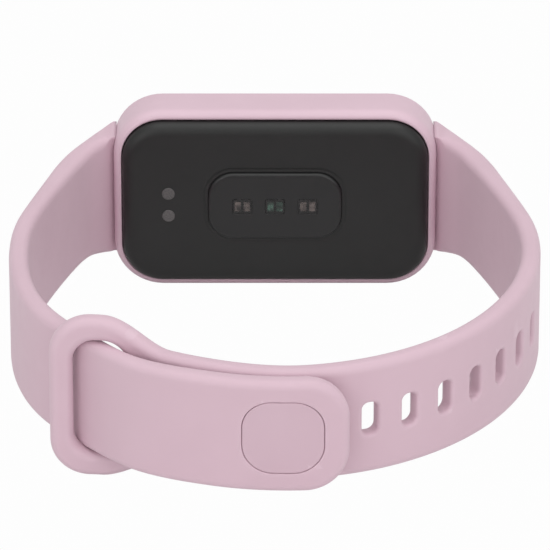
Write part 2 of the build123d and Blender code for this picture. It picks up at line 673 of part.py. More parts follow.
with BuildPart() as hole_strap:
    with BuildSketch(Plane.XY.offset(MID_Z - LOOP_HALF_WIDTH)):
        with BuildLine():
            shoulders(1)
            outer_ring = ring_face(RING_OUTER, LOOP_START_ANGLE)
            inner_ring = ring_face(RING_INNER, LOOP_START_ANGLE)
            outer_reach = Spline(
                outer_ring @ 1,
                (-6.9, -33.0),
                (-13.0, -30.6),
                (-18.0, -28.15),
                (-22.4, LOOP_INNER_Y - STRAP_THICKNESS),
                tangents=(outer_ring % 1, (-1, 0)),
            )
            inner_reach = Spline(
                inner_ring @ 1,
                (-6.2, -30.6),
                (-12.0, -28.3),
                (-17.0, -25.9),
                (-22.0, LOOP_INNER_Y),
                tangents=(inner_ring % 1, (-1, 0)),
            )
            Polyline(
                outer_reach @ 1,
                (LOOP_END_X, LOOP_INNER_Y - STRAP_THICKNESS),
                (LOOP_END_X, LOOP_INNER_Y),
                inner_reach @ 1,
            )
        make_face()
    extrude(amount=2 * LOOP_HALF_WIDTH)
    add(hole_strap_width.part.fuse(root_width()), mode=Mode.INTERSECT)
    fillet(soft_edges(hole_strap), RING_EDGE_ROUND)
    opening_middle = (OPENING_X[0] + OPENING_X[1]) / 2
    opening_plane = Plane(origin=(opening_middle, LOOP_INNER_Y + 1, MID_Z), x_dir=(1, 0, 0), z_dir=(0, -1, 0))
    with BuildSketch(opening_plane):
        outline = Rectangle(OPENING_X[1] - OPENING_X[0], 2 * OPENING_HALF_WIDTH)
        fillet(outline.vertices().group_by(Axis.X)[0], OPENING_END_CORNER)
        fillet(outline.vertices().group_by(Axis.X)[-1], OPENING_STRAP_CORNER)
    extrude(amount=STRAP_THICKNESS + 4, mode=Mode.SUBTRACT)
    fillet([edge for edge in soft_edges(hole_strap) if inside_opening(edge)], OPENING_ROUND)
    for number in range(SLOT_COUNT):
        distance = STUD_X + number * SLOT_PITCH
        spot = slot_path.edge().position_at(distance, PositionMode.LENGTH)
        along = slot_path.edge().tangent_at(distance, PositionMode.LENGTH)
        with BuildSketch(Plane(origin=(spot.X, spot.Y, MID_Z), x_dir=along, z_dir=(along.Y, -along.X, 0))):
            RectangleRounded(SLOT_LENGTH, SLOT_WIDTH, SLOT_CORNER)
        extrude(amount=STRAP_THICKNESS + 0.6, both=True, mode=Mode.SUBTRACT)
    add(connector(1).part, mode=Mode.SUBTRACT)
keep(hole_strap, "hole_strap")


# ---------------------------------------------------------------- stud strap and its tongue
def tongue_point(radius, x):
    """Point of a tongue face, which is an arc about TONGUE_CENTRE."""
    return (x, TONGUE_CENTRE[1] - sqrt(radius ** 2 - (x - TONGUE_CENTRE[0]) ** 2))


def tongue_heading(radius, x):
    """Direction of growing x along a tongue face."""
    point = tongue_point(radius, x)
    return (TONGUE_CENTRE[1] - point[1], x - TONGUE_CENTRE[0])


def tongue_arc(radius, start_x, end_x):
    """Stretch of a tongue face between two x positions."""
    return ThreePointArc(
        tongue_point(radius, start_x),
        tongue_point(radius, (start_x + end_x) / 2),
        tongue_point(radius, end_x),
    )


def half_space(axis, heading, side):
    """Block over everything in front of a fold axis (side = 1) or behind it (side = -1)."""
    direction = Vector(*heading).normalized()
    section = Plane(origin=(axis[0], axis[1], MID_Z), x_dir=(direction.X, direction.Y, 0), z_dir=(0, 0, 1))
    with BuildPart() as block:
        with BuildSketch(section):
            with Locations((side * FREE_LENGTH / 2, 0)):
                Rectangle(FREE_LENGTH, 2 * FREE_LENGTH)
        extrude(amount=LOOP_HALF_WIDTH, both=True)
    return block.part


def knuckle(axis, radius, half_width):
    """Cylinder about a fold axis."""
    with BuildPart() as pin:
        with BuildSketch(Plane(origin=(axis[0], axis[1], MID_Z), x_dir=(1, 0, 0), z_dir=(0, 0, 1))):
            Circle(radius)
        extrude(amount=half_width, both=True)
    return pin.part


def cap_column(grow):
    """Upright column over the outline of the stud cap, grown by a margin."""
    with BuildPart() as column:
        with BuildSketch(Plane(origin=(STUD_X, -30, MID_Z), x_dir=(1, 0, 0), z_dir=(0, -1, 0))):
            RectangleRounded(CAP_LENGTH + 2 * grow, CAP_WIDTH + 2 * grow, CAP_CORNER + grow)
        extrude(amount=10)
    return column.part


def tongue_skin(depth):
    """Layer of the tongue under its outer face, wide enough for the cap recess."""
    with BuildPart() as skin:
        with BuildSketch(Plane.XY.offset(MID_Z - STRAP_HALF_WIDTH)):
            with BuildLine():
                skin_ends = (STUD_X - CAP_LENGTH, STUD_X + 7.5)
                tongue_arc(TONGUE_RADIUS, *skin_ends)
                tongue_arc(TONGUE_RADIUS - depth, *skin_ends)
                for end in skin_ends:
                    Line(tongue_point(TONGUE_RADIUS, end), tongue_point(TONGUE_RADIUS - depth, end))
            make_face()
        extrude(amount=2 * STRAP_HALF_WIDTH)
    return skin.part


def post_bar(size, near_y, far_y):
    """Upright rectangular bar of the stud between two heights, with rounded corners."""
    with BuildPart() as bar:
        with BuildSketch(Plane(origin=(STUD_X, far_y, MID_Z), x_dir=(1, 0, 0), z_dir=(0, -1, 0))):
            RectangleRounded(size[0], size[1], POST_CORNER)
        extrude(amount=far_y - near_y)
    return bar.part


INNER_RADIUS = TONGUE_RADIUS - TONGUE_THICKNESS
FREE_LENGTH = 90

with BuildPart() as stud_strap_whole:
    with BuildSketch(Plane.XY.offset(MID_Z - LOOP_HALF_WIDTH)):
        with BuildLine():
            shoulders(-1)
            outer_side, outer_down = ring_point(-1, RING_OUTER, 0)
            inner_side, inner_down = ring_point(-1, RING_INNER, 0)
            EllipticalCenterArc(
                (0, RING_CENTRE_Y), *RING_OUTER, start_angle=180 - SHOULDER_ANGLE, arc_size=SHOULDER_ANGLE
            )
            EllipticalCenterArc(
                (0, RING_CENTRE_Y), *RING_INNER, start_angle=180 - SHOULDER_ANGLE, arc_size=SHOULDER_ANGLE
            )
            Spline(
                outer_side,
                (-32.75, -9.2),
                (-29.35, -18.55),
                (-22.8, -26.95),
                (-18.2, -31.55),
                tongue_point(TONGUE_RADIUS, TONGUE_START_X),
                tangents=((0, -1), tongue_heading(TONGUE_RADIUS, TONGUE_START_X)),
            )
            Spline(
                inner_side,
                (-30.3, -8.8),
                (-27.1, -17.35),
                (-20.95, -25.45),
                (-16.75, -29.65),
                tongue_point(INNER_RADIUS, TONGUE_START_X + 0.8),
                tangents=((0, -1), tongue_heading(INNER_RADIUS, TONGUE_START_X + 0.8)),
            )
            tongue_arc(TONGUE_RADIUS, TONGUE_START_X, TONGUE_END_X)
            tongue_arc(INNER_RADIUS, TONGUE_START_X + 0.8, TONGUE_END_X)
            Line(tongue_point(TONGUE_RADIUS, TONGUE_END_X), tongue_point(INNER_RADIUS, TONGUE_END_X))
        make_face()
    extrude(amount=2 * LOOP_HALF_WIDTH)
    with BuildPart(mode=Mode.PRIVATE) as tongue_width:
        with BuildSketch(Plane(origin=(0, 0, MID_Z), x_dir=(1, 0, 0), z_dir=(0, -1, 0))):
            with Locations((TONGUE_END_X - FREE_LENGTH / 2, 0)):
                RectangleRounded(FREE_LENGTH, 2 * STRAP_HALF_WIDTH, TONGUE_CORNER)
        extrude(amount=40)
    add(tongue_width.part.fuse(root_width()), mode=Mode.INTERSECT)
    fillet(soft_edges(stud_strap_whole), RING_EDGE_ROUND)

FOLD_WIDTH = STRAP_HALF_WIDTH - RING_EDGE_ROUND
NECK_END_Y = TONGUE_CENTRE[1] - TONGUE_RADIUS + CAP_THICKNESS + FIT

with BuildPart() as stud_strap:
    add(stud_strap_whole.part)
    add(half_space(PEEL_AXIS, PEEL_HEADING, 1), mode=Mode.SUBTRACT)
    add(knuckle(PEEL_AXIS, PEEL_KNUCKLE + KNUCKLE_PLAY, LOOP_HALF_WIDTH), mode=Mode.SUBTRACT)
    add(connector(-1).part, mode=Mode.SUBTRACT)
keep(stud_strap, "stud_strap")

with BuildPart() as tongue_middle:
    add(stud_strap_whole.part)
    add(half_space(PEEL_AXIS, PEEL_HEADING, -1), mode=Mode.SUBTRACT)
    add(knuckle(PEEL_AXIS, PEEL_KNUCKLE, FOLD_WIDTH))
    add(half_space(CURL_AXIS, CURL_HEADING, 1), mode=Mode.SUBTRACT)
    add(knuckle(CURL_AXIS, CURL_KNUCKLE + KNUCKLE_PLAY, LOOP_HALF_WIDTH), mode=Mode.SUBTRACT)
keep(tongue_middle, "tongue_middle")

with BuildPart() as tongue_tip:
    add(stud_strap_whole.part)
    add(half_space(CURL_AXIS, CURL_HEADING, -1), mode=Mode.SUBTRACT)
    add(knuckle(CURL_AXIS, CURL_KNUCKLE, FOLD_WIDTH))
    add(tongue_skin(CAP_THICKNESS + FIT) & cap_column(CAP_GROOVE), mode=Mode.SUBTRACT)
    add(post_bar((NECK[0] + FIT, NECK[1] + FIT), NECK_END_Y, HEAD_Y[0] + 0.4), mode=Mode.SUBTRACT)
keep(tongue_tip, "tongue_tip")

with BuildPart() as stud_cap:
    add(tongue_skin(CAP_THICKNESS) & cap_column(0))
    fillet(stud_cap.edges().filter_by(lambda edge: edge.center().Y < NECK_END_Y - CAP_THICKNESS / 2
                                      and abs((edge % 0.5).Y) < 0.9), 0.2)
keep(stud_cap, "stud_cap")

with BuildPart() as stud_post:
    add(post_bar(NECK, NECK_END_Y, HEAD_Y[1]))
    add(post_bar(HEAD, HEAD_Y[0], HEAD_Y[1]))
keep(stud_post, "stud_post")
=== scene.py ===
import json
import math

import bpy
import bmesh
import numpy as np
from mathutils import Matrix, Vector
from mathutils.geometry import delaunay_2d_cdt


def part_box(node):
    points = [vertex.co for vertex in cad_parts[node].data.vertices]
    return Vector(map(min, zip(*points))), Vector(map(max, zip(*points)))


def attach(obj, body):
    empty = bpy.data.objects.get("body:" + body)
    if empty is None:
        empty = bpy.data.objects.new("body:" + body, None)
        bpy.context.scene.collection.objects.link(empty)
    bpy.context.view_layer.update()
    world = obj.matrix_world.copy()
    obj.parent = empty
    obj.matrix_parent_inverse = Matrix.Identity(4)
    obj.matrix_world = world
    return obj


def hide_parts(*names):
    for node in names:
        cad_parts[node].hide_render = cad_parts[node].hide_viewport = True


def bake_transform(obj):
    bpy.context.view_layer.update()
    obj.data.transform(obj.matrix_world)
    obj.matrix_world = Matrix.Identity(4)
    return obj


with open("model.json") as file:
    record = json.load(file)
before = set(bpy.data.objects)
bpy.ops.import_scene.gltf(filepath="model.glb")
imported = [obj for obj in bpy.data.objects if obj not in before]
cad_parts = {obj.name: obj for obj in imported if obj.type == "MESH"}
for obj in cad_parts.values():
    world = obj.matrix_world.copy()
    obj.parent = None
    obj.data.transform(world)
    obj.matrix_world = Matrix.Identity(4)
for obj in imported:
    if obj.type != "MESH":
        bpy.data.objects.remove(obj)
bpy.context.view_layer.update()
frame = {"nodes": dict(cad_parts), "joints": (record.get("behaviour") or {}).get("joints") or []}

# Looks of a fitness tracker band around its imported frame. Sizes are in millimetres in the
# frame's axes: x along the tracker, y from the clasp to the screen, z along the wrist axis.

MM = 0.001


def node_box(name):
    """Lowest and highest corner of a CAD node, in millimetres."""
    low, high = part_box(name)
    return np.array(low) / MM, np.array(high) / MM


CASE_LOW, CASE_HIGH = node_box("tracker_case")
MID_Z = (CASE_LOW[2] + CASE_HIGH[2]) / 2
CASE_HALF_X = CASE_HIGH[0]
CASE_HALF_Z = CASE_HIGH[2] - MID_Z
CASE_CORNER = 6.45
OPTIC_X = 4.3           # distance between the middles of the optical windows


# ================================================================ curves
PATH_POINTS = 3000      # points that stand for a strap's curve


def clamped_spline(knots, values, asked, first_slope, last_slope):
    """Cubic curve through values at knots, smooth to its second derivative, with set end slopes."""
    count = len(knots)
    gaps = np.diff(knots)
    system = np.zeros((count, count))
    right = np.zeros((count, values.shape[1]))
    steps = np.diff(values, axis=0) / gaps[:, None]
    system[0, 0], system[0, 1] = 2 * gaps[0], gaps[0]
    right[0] = 6 * (steps[0] - first_slope)
    system[-1, -1], system[-1, -2] = 2 * gaps[-1], gaps[-1]
    right[-1] = 6 * (last_slope - steps[-1])
    for i in range(1, count - 1):
        system[i, i - 1] = gaps[i - 1]
        system[i, i] = 2 * (gaps[i - 1] + gaps[i])
        system[i, i + 1] = gaps[i]
        right[i] = 6 * (steps[i] - steps[i - 1])
    bend = np.linalg.solve(system, right)
    span = np.clip(np.searchsorted(knots, asked, side="right") - 1, 0, count - 2)
    left = (asked - knots[span])[:, None]
    width = gaps[span][:, None]
    rest = width - left
    return (
        bend[span] * rest ** 3 / (6 * width)
        + bend[span + 1] * left ** 3 / (6 * width)
        + (values[span] / width - bend[span] * width / 6) * rest
        + (values[span + 1] / width - bend[span + 1] * width / 6) * left
    )


def running_length(points):
    """Distance along a line of points, from its first one."""
    return np.concatenate([[0], np.cumsum(np.linalg.norm(np.diff(points, axis=0), axis=1))])


class StrapPath:
    """Outer and inner face of a strap in plan, by distance along its middle line."""

    def __init__(self, pairs, first, last):
        pairs = np.array(pairs, float)
        middle = pairs.mean(axis=1)
        knots = running_length(middle)
        fine = np.linspace(0, knots[-1], PATH_POINTS)
        first, last = np.array(first, float), np.array(last, float)
        outer = clamped_spline(knots, pairs[:, 0], fine, first, last)
        inner = clamped_spline(knots, pairs[:, 1], fine, first, last)
        centre = (outer + inner) / 2
        self.distance = running_length(centre)
        self.outer = outer
        self.inner = inner
        self.centre = centre
        self.length = self.distance[-1]

    def pick(self, table, distance):
        """Points of one of the path's lines at distances along the middle one."""
        return np.stack([np.interp(distance, self.distance, table[:, i]) for i in (0, 1)], axis=-1)

    def at_x(self, x):
        """Distance where the middle line reaches x, on the clasp side of the ring."""
        usable = np.where(self.centre[:, 1] < 0)[0]
        nearest = usable[np.argmin(np.abs(self.centre[usable, 0] - x))]
        return self.distance[nearest]

    def place(self, flat, drop, outer_side):
        """Points of a flat strap layout (distance, height) sunk by drop under one of its faces.

        Distances below zero run straight in x, towards the case.
        """
        out = self.pick(self.outer, flat[:, 0])
        inn = self.pick(self.inner, flat[:, 0])
        thick = np.linalg.norm(out - inn, axis=1)
        share = 1 - drop / thick if outer_side else drop / thick
        plan = inn + (out - inn) * share[:, None]
        plan[:, 0] += np.sign(self.centre[0, 0]) * np.minimum(flat[:, 0], 0)
        return np.column_stack([plan, MID_Z + flat[:, 1]])


# ================================================================ meshes
SUPPORT = 0.22          # extra ring that keeps a rounded edge from shading into the flat face
CORNERS = ((1, 1, 0), (-1, 1, 90), (-1, -1, 180), (1, -1, 270))  # signs in x and across, angle
LOFT_STEPS = 12         # pieces of each corner of a lofted ring
ROW_SPREAD = 1.2        # spacing of grid rows, as a share of the spacing of its columns
GRID_CLEARANCE = 0.45   # share of the grid that its points keep from a loop
TINY = 1e-12            # keeps a level edge from dividing by zero
SAME_POINT = 1e-6


def inside(points, loop):
    """True for each point that lies inside a closed loop."""
    x, y = points[:, 0][:, None], points[:, 1][:, None]
    x0, y0 = loop[:, 0][None], loop[:, 1][None]
    x1, y1 = np.roll(loop[:, 0], -1)[None], np.roll(loop[:, 1], -1)[None]
    spans = (y0 > y) != (y1 > y)
    height = np.where(np.abs(y1 - y0) < TINY, TINY, y1 - y0)
    crossing = spans & (x < (x1 - x0) * (y - y0) / height + x0)
    return crossing.sum(axis=1) % 2 == 1


def between(points, loops):
    """True for each point inside the first loop and outside the others."""
    good = inside(points, loops[0])
    for hole in loops[1:]:
        good &= ~inside(points, hole)
    return good


def loop_normals(loop):
    """Unit normals to the right of a closed loop's direction: out of the material."""
    along = np.roll(loop, -1, axis=0) - np.roll(loop, 1, axis=0)
    along /= np.linalg.norm(along, axis=1)[:, None]
    return np.column_stack([along[:, 1], -along[:, 0]])


def rounded_rect(cx, cy, half_x, half_y, corner, spacing=0.25, low_corner=None):
    """Counter-clockwise rounded rectangle with points along its sides.

    low_corner is the corner radius at its low x end, where that differs.
    """
    points = []
    for sx, sy, start in CORNERS:
        radius = corner if sx > 0 or low_corner is None else low_corner
        steps = max(4, int(round(radius * math.pi / 2 / spacing)))
        for k in range(steps + 1):
            angle = math.radians(start + 90 * k / steps)
            points.append((
                cx + sx * (half_x - radius) + radius * math.cos(angle),
                cy + sy * (half_y - radius) + radius * math.sin(angle),
            ))
    return fill_gaps(np.array(points), spacing * 2)


def fill_gaps(loop, spacing):
    """Adds points to the long edges of a closed loop."""
    filled = []
    for here, there in zip(loop, np.roll(loop, -1, axis=0)):
        gap = np.linalg.norm(there - here)
        if gap < SAME_POINT:
            continue
        parts = max(1, int(math.ceil(gap / spacing)))
        for k in range(parts):
            filled.append(here + (there - here) * k / parts)
    return np.array(filled)


def edge_profile(radius, steps=6):
    """Inset and drop pairs from a face, round an edge, to the side. The radius can differ by point."""
    pairs = [(radius + SUPPORT, 0 * radius)]
    for k in range(steps + 1):
        angle = math.radians(90 * k / steps)
        pairs.append((radius * (1 - math.sin(angle)), radius * (1 - math.cos(angle))))
    return pairs


def grid_points(loops, fixed, grid):
    """Grid points of the region between loops that stay clear of the fixed points."""
    low, high = loops[0].min(axis=0), loops[0].max(axis=0)
    xs = np.arange(low[0] + grid / 2, high[0], grid)
    rows = max(3, int((high[1] - low[1]) / (grid * ROW_SPREAD)))
    ys = np.linspace(low[1], high[1], rows)[1:-1]
    extra = np.array([(x, y) for x in xs for y in ys])
    extra = extra[between(extra, loops)]
    if len(extra) == 0:
        return extra.reshape(0, 2)
    near = np.array([np.min(np.sum((fixed - point) ** 2, axis=1)) for point in extra])
    return extra[near > (grid * GRID_CLEARANCE) ** 2]


def face_triangles(loops, marks, grid):
    """Fills the flat region between loops, with extra points on a grid.

    Marks are loops in that region which the triangles must keep.
    """
    every = list(loops) + list(marks)
    fixed = np.vstack(every)
    extra = grid_points(loops, fixed, grid)
    points = [Vector(point) for point in np.vstack([fixed, extra])]
    edges = []
    start = 0
    for loop in every:
        edges += [(start + i, start + (i + 1) % len(loop)) for i in range(len(loop))]
        start += len(loop)
    coords, _, faces, origin, _, _ = delaunay_2d_cdt(points, edges, [], 0, 1e-7)
    coords = np.array([tuple(c) for c in coords])
    index = [o[0] if o else -1 for o in origin]
    faces = [face for face in faces if all(index[v] >= 0 for v in face)]
    centres = np.array([coords[list(face)].mean(axis=0) for face in faces])
    good = between(centres, loops)
    return extra, [tuple(index[v] for v in face) for face, ok in zip(faces, good) if ok]


def ring_faces(first, second, count):
    """Quads between two rings of points, from the index at which each ring starts."""
    return [
        (first + i, first + (i + 1) % count, second + (i + 1) % count, second + i)
        for i in range(count)
    ]


def slab(name, outline, holes, rounding, place, recess=None, grid=0.9, steps=6, inner_rounding=None):
    """Closed slab with rounded edges from a flat outline with holes, set in space by place().

    rounding is one radius, or a radius for each loop, or for each point of a loop. inner_rounding
    is the same for the inner face, where it differs.
    recess is (loop, [(grow, drop), ...]): a step pressed into the outer face, from its rim inwards.
    """
    loops = [outline] + [hole[::-1] for hole in holes]
    normals = [loop_normals(loop) for loop in loops]
    if not isinstance(rounding, (list, tuple)):
        rounding = [rounding] * len(loops)
    radii = {True: rounding, False: inner_rounding or rounding}
    verts, faces = [], []

    def add(points):
        start = sum(len(v) for v in verts)
        verts.append(points)
        return start

    rims = {}
    for outer_side in (True, False):
        profiles = [
            edge_profile(np.ones(len(loop)) * radius, steps)
            for loop, radius in zip(loops, radii[outer_side])
        ]
        rows = [
            [add(place(loop - normal * inset[:, None], drop, outer_side)) for inset, drop in pairs]
            for loop, normal, pairs in zip(loops, normals, profiles)
        ]
        rims[outer_side] = [row[-1] for row in rows]
        marks, mark_starts = [], []
        if recess and outer_side:
            base, ladder = recess
            base_normals = loop_normals(base)
            for grow, drop in ladder:
                ring = base + base_normals * grow
                marks.append(ring)
                mark_starts.append(add(place(ring, np.full(len(ring), drop), True)))
        inner_loops = [
            loop - normal * pairs[0][0][:, None]
            for loop, normal, pairs in zip(loops, normals, profiles)
        ]
        flat_marks = [marks[0], marks[-1]] if marks else []
        extra, triangles = face_triangles(inner_loops, flat_marks, grid)
        depth = np.zeros(len(extra))
        if marks:
            depth[inside(extra, marks[-1])] = recess[1][-1][1]
        extra_start = add(place(extra, depth, outer_side))
        starts = [row[0] for row in rows]
        if marks:
            starts += [mark_starts[0], mark_starts[-1]]
        starts.append(extra_start)
        flat_groups = inner_loops + flat_marks + [extra]
        lookup = []
        for start, group in zip(starts, flat_groups):
            lookup += range(start, start + len(group))
        if marks:
            # the band between rim and floor of the recess is built from its ladder instead
            flat = np.vstack(flat_groups)
            middle = np.array([flat[list(t)].mean(axis=0) for t in triangles])
            band = inside(middle, marks[0]) & ~inside(middle, marks[-1])
            triangles = [t for t, in_band in zip(triangles, band) if not in_band]
            for above, below in zip(mark_starts, mark_starts[1:]):
                faces += ring_faces(above, below, len(base))
        faces += [tuple(lookup[i] for i in t) for t in triangles]
        for row, loop in zip(rows, loops):
            for first, second in zip(row, row[1:]):
                faces += ring_faces(first, second, len(loop))
    for top, bottom, loop in zip(rims[True], rims[False], loops):
        faces += ring_faces(top, bottom, len(loop))
    return make_object(name, np.vstack(verts), faces)


def make_object(name, points, faces):
    """Mesh object in metres with smooth shading and outward normals."""
    mesh = bpy.data.meshes.new(name)
    mesh.from_pydata([tuple(p * MM) for p in points], [], faces)
    mesh.validate()
    work = bmesh.new()
    work.from_mesh(mesh)
    bmesh.ops.recalc_face_normals(work, faces=work.faces)
    work.to_mesh(mesh)
    work.free()
    mesh.polygons.foreach_set("use_smooth", [True] * len(mesh.polygons))
    obj = bpy.data.objects.new(name, mesh)
    bpy.context.scene.collection.objects.link(obj)
    return obj


def loft(name, stations, closed=True):
    """Skin over rounded rectangles (y, half x, half z, corner) in order, centred on the tracker."""
    rows, faces = [], []
    for y, half_x, half_z, corner in stations:
        ring = []
        for sx, sz, start in CORNERS:
            for k in range(LOFT_STEPS + 1):
                angle = math.radians(start + 90 * k / LOFT_STEPS)
                ring.append((
                    sx * (half_x - corner) + corner * math.cos(angle),
                    y,
                    MID_Z + sz * (half_z - corner) + corner * math.sin(angle),
                ))
        rows.append(np.array(ring))
    count = len(rows[0])
    for r in range(len(rows) - 1):
        faces += ring_faces(r * count, (r + 1) * count, count)
    if closed:
        faces.append(tuple(range(count)))
        faces.append(tuple((len(rows) - 1) * count + i for i in range(count)))
    return make_object(name, np.vstack(rows), faces)


def sharpen(obj, degrees):
    """Keeps edges crisp where faces meet at more than an angle."""
    obj.data.set_sharp_from_angle(angle=math.radians(degrees))
    return obj


# ================================================================ materials
def srgb(red, green, blue):
    """Linear colour from a display colour of 0 to 255."""
    def linear(value):
        share = value / 255
        return share / 12.92 if share <= 0.04045 else ((share + 0.055) / 1.055) ** 2.4
    return (linear(red), linear(green), linear(blue), 1.0)


def scaled(colour, factor):
    """A colour made lighter or darker by a factor."""
    return tuple(factor * value for value in colour[:3]) + (1.0,)


class Nodes:
    """Short way to build a node material."""

    def __init__(self, name):
        self.material = bpy.data.materials.new(name)
        self.material.use_nodes = True
        self.tree = self.material.node_tree
        self.tree.nodes.clear()
        self.out = self.add("ShaderNodeOutputMaterial")

    def add(self, kind, inputs=None, **settings):
        node = self.tree.nodes.new(kind)
        for key, value in settings.items():
            setattr(node, key, value)
        for key, value in (inputs or {}).items():
            self.set(node.inputs[key], value)
        return node

    def set(self, socket, value):
        if isinstance(value, bpy.types.NodeSocket):
            self.tree.links.new(value, socket)
        else:
            socket.default_value = value

    def position(self):
        """Place on the object in millimetres."""
        coordinates = self.add("ShaderNodeTexCoord")
        inputs = {0: coordinates.outputs["Object"], "Scale": 1 / MM}
        return self.add("ShaderNodeVectorMath", inputs, operation="SCALE").outputs[0]

    def stretch(self, place, factors):
        """A place scaled by its own factor along each axis."""
        inputs = {0: place, 1: factors}
        return self.add("ShaderNodeVectorMath", inputs, operation="MULTIPLY").outputs[0]

    def noise(self, place, scale, detail=2.0, roughness=0.5):
        inputs = {"Vector": place, "Scale": scale, "Detail": detail, "Roughness": roughness}
        return self.add("ShaderNodeTexNoise", inputs).outputs["Fac"]

    def ramp(self, value, low, high, to_low, to_high):
        inputs = {"Value": value, "From Min": low, "From Max": high, "To Min": to_low, "To Max": to_high}
        return self.add("ShaderNodeMapRange", inputs).outputs["Result"]

    def maths(self, operation, *values):
        return self.add("ShaderNodeMath", dict(enumerate(values)), operation=operation).outputs[0]

    def mix(self, share, first, second):
        node = self.add("ShaderNodeMix", data_type="RGBA")
        self.set(node.inputs[0], share)
        self.set(node.inputs[6], first)
        self.set(node.inputs[7], second)
        return node.outputs[2]

    def bump(self, height, distance, strength=1.0, normal=None):
        inputs = {"Height": height, "Distance": distance * MM, "Strength": strength}
        if normal is not None:
            inputs["Normal"] = normal
        return self.add("ShaderNodeBump", inputs).outputs["Normal"]

    def surface(self, **values):
        shader = self.add("ShaderNodeBsdfPrincipled")
        for key, value in values.items():
            self.set(shader.inputs[key.replace("_", " ")], value)
        self.tree.links.new(shader.outputs["BSDF"], self.out.inputs["Surface"])
        return self.material


def soft_rubber(name, colour, shade, edge):
    """Matt silicone-like strap: slow colour drift, fine moulded grain, paler on sharp convex edges."""
    n = Nodes(name)
    place = n.position()
    drift = n.ramp(n.noise(place, 0.09, 3.0), 0.3, 0.7, 0.0, 1.0)
    body = n.mix(drift, colour, shade)
    # colour turns towards the edge colour where the surface is sharply convex
    edge_pointiness = n.add("ShaderNodeNewGeometry").outputs["Pointiness"]
    body = n.mix(n.ramp(edge_pointiness, 0.5, 0.56, 0.0, 0.5), body, edge)
    speck = n.noise(place, 9.0, 4.0, 0.6)
    grain = n.noise(place, 4.5, 5.0, 0.65)
    normal = n.bump(speck, 0.004, 0.5)
    normal = n.bump(grain, 0.012, 0.35, normal)
    rough = n.ramp(n.noise(place, 0.6, 3.0), 0.3, 0.7, 0.5, 0.6)
    return n.surface(
        Base_Color=body, Roughness=rough, Normal=normal, Specular_IOR_Level=0.35,
        Sheen_Weight=0.12, Sheen_Roughness=0.5,
    )


def moulded_plastic(name, colour, shade, rough, grain=0.006, coat=0.0):
    """Hard moulded plastic: fine spark texture, slow colour drift, faint smears in the gloss."""
    n = Nodes(name)
    place = n.position()
    body = n.mix(n.ramp(n.noise(place, 0.15, 3.0), 0.3, 0.7, 0.0, 1.0), colour, shade)
    texture = n.noise(place, 11.0, 4.0, 0.6)
    smear = n.noise(place, 0.45, 4.0, 0.6)
    roughness = n.ramp(smear, 0.25, 0.75, rough * 0.9, rough * 1.12)
    return n.surface(
        Base_Color=body, Roughness=roughness, Normal=n.bump(texture, grain, 0.5),
        Coat_Weight=coat, Coat_Roughness=0.12,
    )


def brushed_metal(name, colour, shade, rough, across=(1.0, 12.0, 1.0)):
    """Plated or brushed metal with a fine directional grain."""
    n = Nodes(name)
    place = n.position()
    lines = n.noise(n.stretch(place, across), 5.0, 3.0, 0.6)
    body = n.mix(n.ramp(lines, 0.3, 0.7, 0.0, 1.0), colour, shade)
    return n.surface(
        Base_Color=body, Metallic=1.0, Roughness=n.ramp(lines, 0.3, 0.7, rough * 0.85, rough * 1.2),
        Normal=n.bump(lines, 0.004, 0.5),
    )


def clear_optic(name, dark, light, green, rough):
    """Tinted clear windows with a faint swirl and two pale sensor squares behind each.

    The squares are green behind the middle window.
    """
    n = Nodes(name)
    place = n.position()
    swirl = n.noise(place, 1.6, 3.0)
    low, high = node_box("optical_windows")
    whole = n.add("ShaderNodeTexCoord").outputs["Generated"]
    share = n.add("ShaderNodeSeparateXYZ", {0: whole}).outputs
    x = n.ramp(share["X"], 0, 1, low[0], high[0])
    z = n.maths("ABSOLUTE", n.ramp(share["Z"], 0, 1, low[2] - MID_Z, high[2] - MID_Z))
    from_middle = n.maths("ABSOLUTE", n.maths("WRAP", x, OPTIC_X / 2, -OPTIC_X / 2))
    past_gap = n.ramp(from_middle, 0.12, 0.24, 0, 1)
    before_end = n.ramp(from_middle, 0.95, 1.05, 1, 0)
    square = n.maths("MULTIPLY", n.maths("MULTIPLY", past_gap, before_end), n.ramp(z, 0.62, 0.74, 1, 0))
    patches = n.ramp(n.noise(place, 1.1, 2.0), 0.35, 0.65, 0.35, 1.0)
    seen = n.maths("MULTIPLY", square, patches)
    in_middle = n.maths("LESS_THAN", n.maths("ABSOLUTE", x), OPTIC_X / 2)
    tint = n.mix(in_middle, light, green)
    return n.surface(
        Base_Color=n.mix(seen, dark, tint), Roughness=n.ramp(swirl, 0.3, 0.7, rough * 0.7, rough * 1.4),
        Transmission_Weight=n.ramp(seen, 0, 1, 0.9, 0.35), IOR=1.49, Normal=n.bump(swirl, 0.003, 0.4),
    )


def dark_glass(name):
    """Black cover glass: clear coat over black print, with faint wipe marks in the gloss."""
    n = Nodes(name)
    place = n.position()
    marks = n.noise(n.stretch(place, (0.25, 1.0, 1.4)), 0.6, 5.0, 0.62)
    body = n.mix(marks, srgb(9, 9, 10), srgb(15, 15, 17))
    return n.surface(
        Base_Color=body, Roughness=n.ramp(marks, 0.3, 0.75, 0.045, 0.11), Specular_IOR_Level=0.5,
        Coat_Weight=0.15, Coat_Roughness=0.03, Normal=n.bump(marks, 0.002, 0.3),
    )


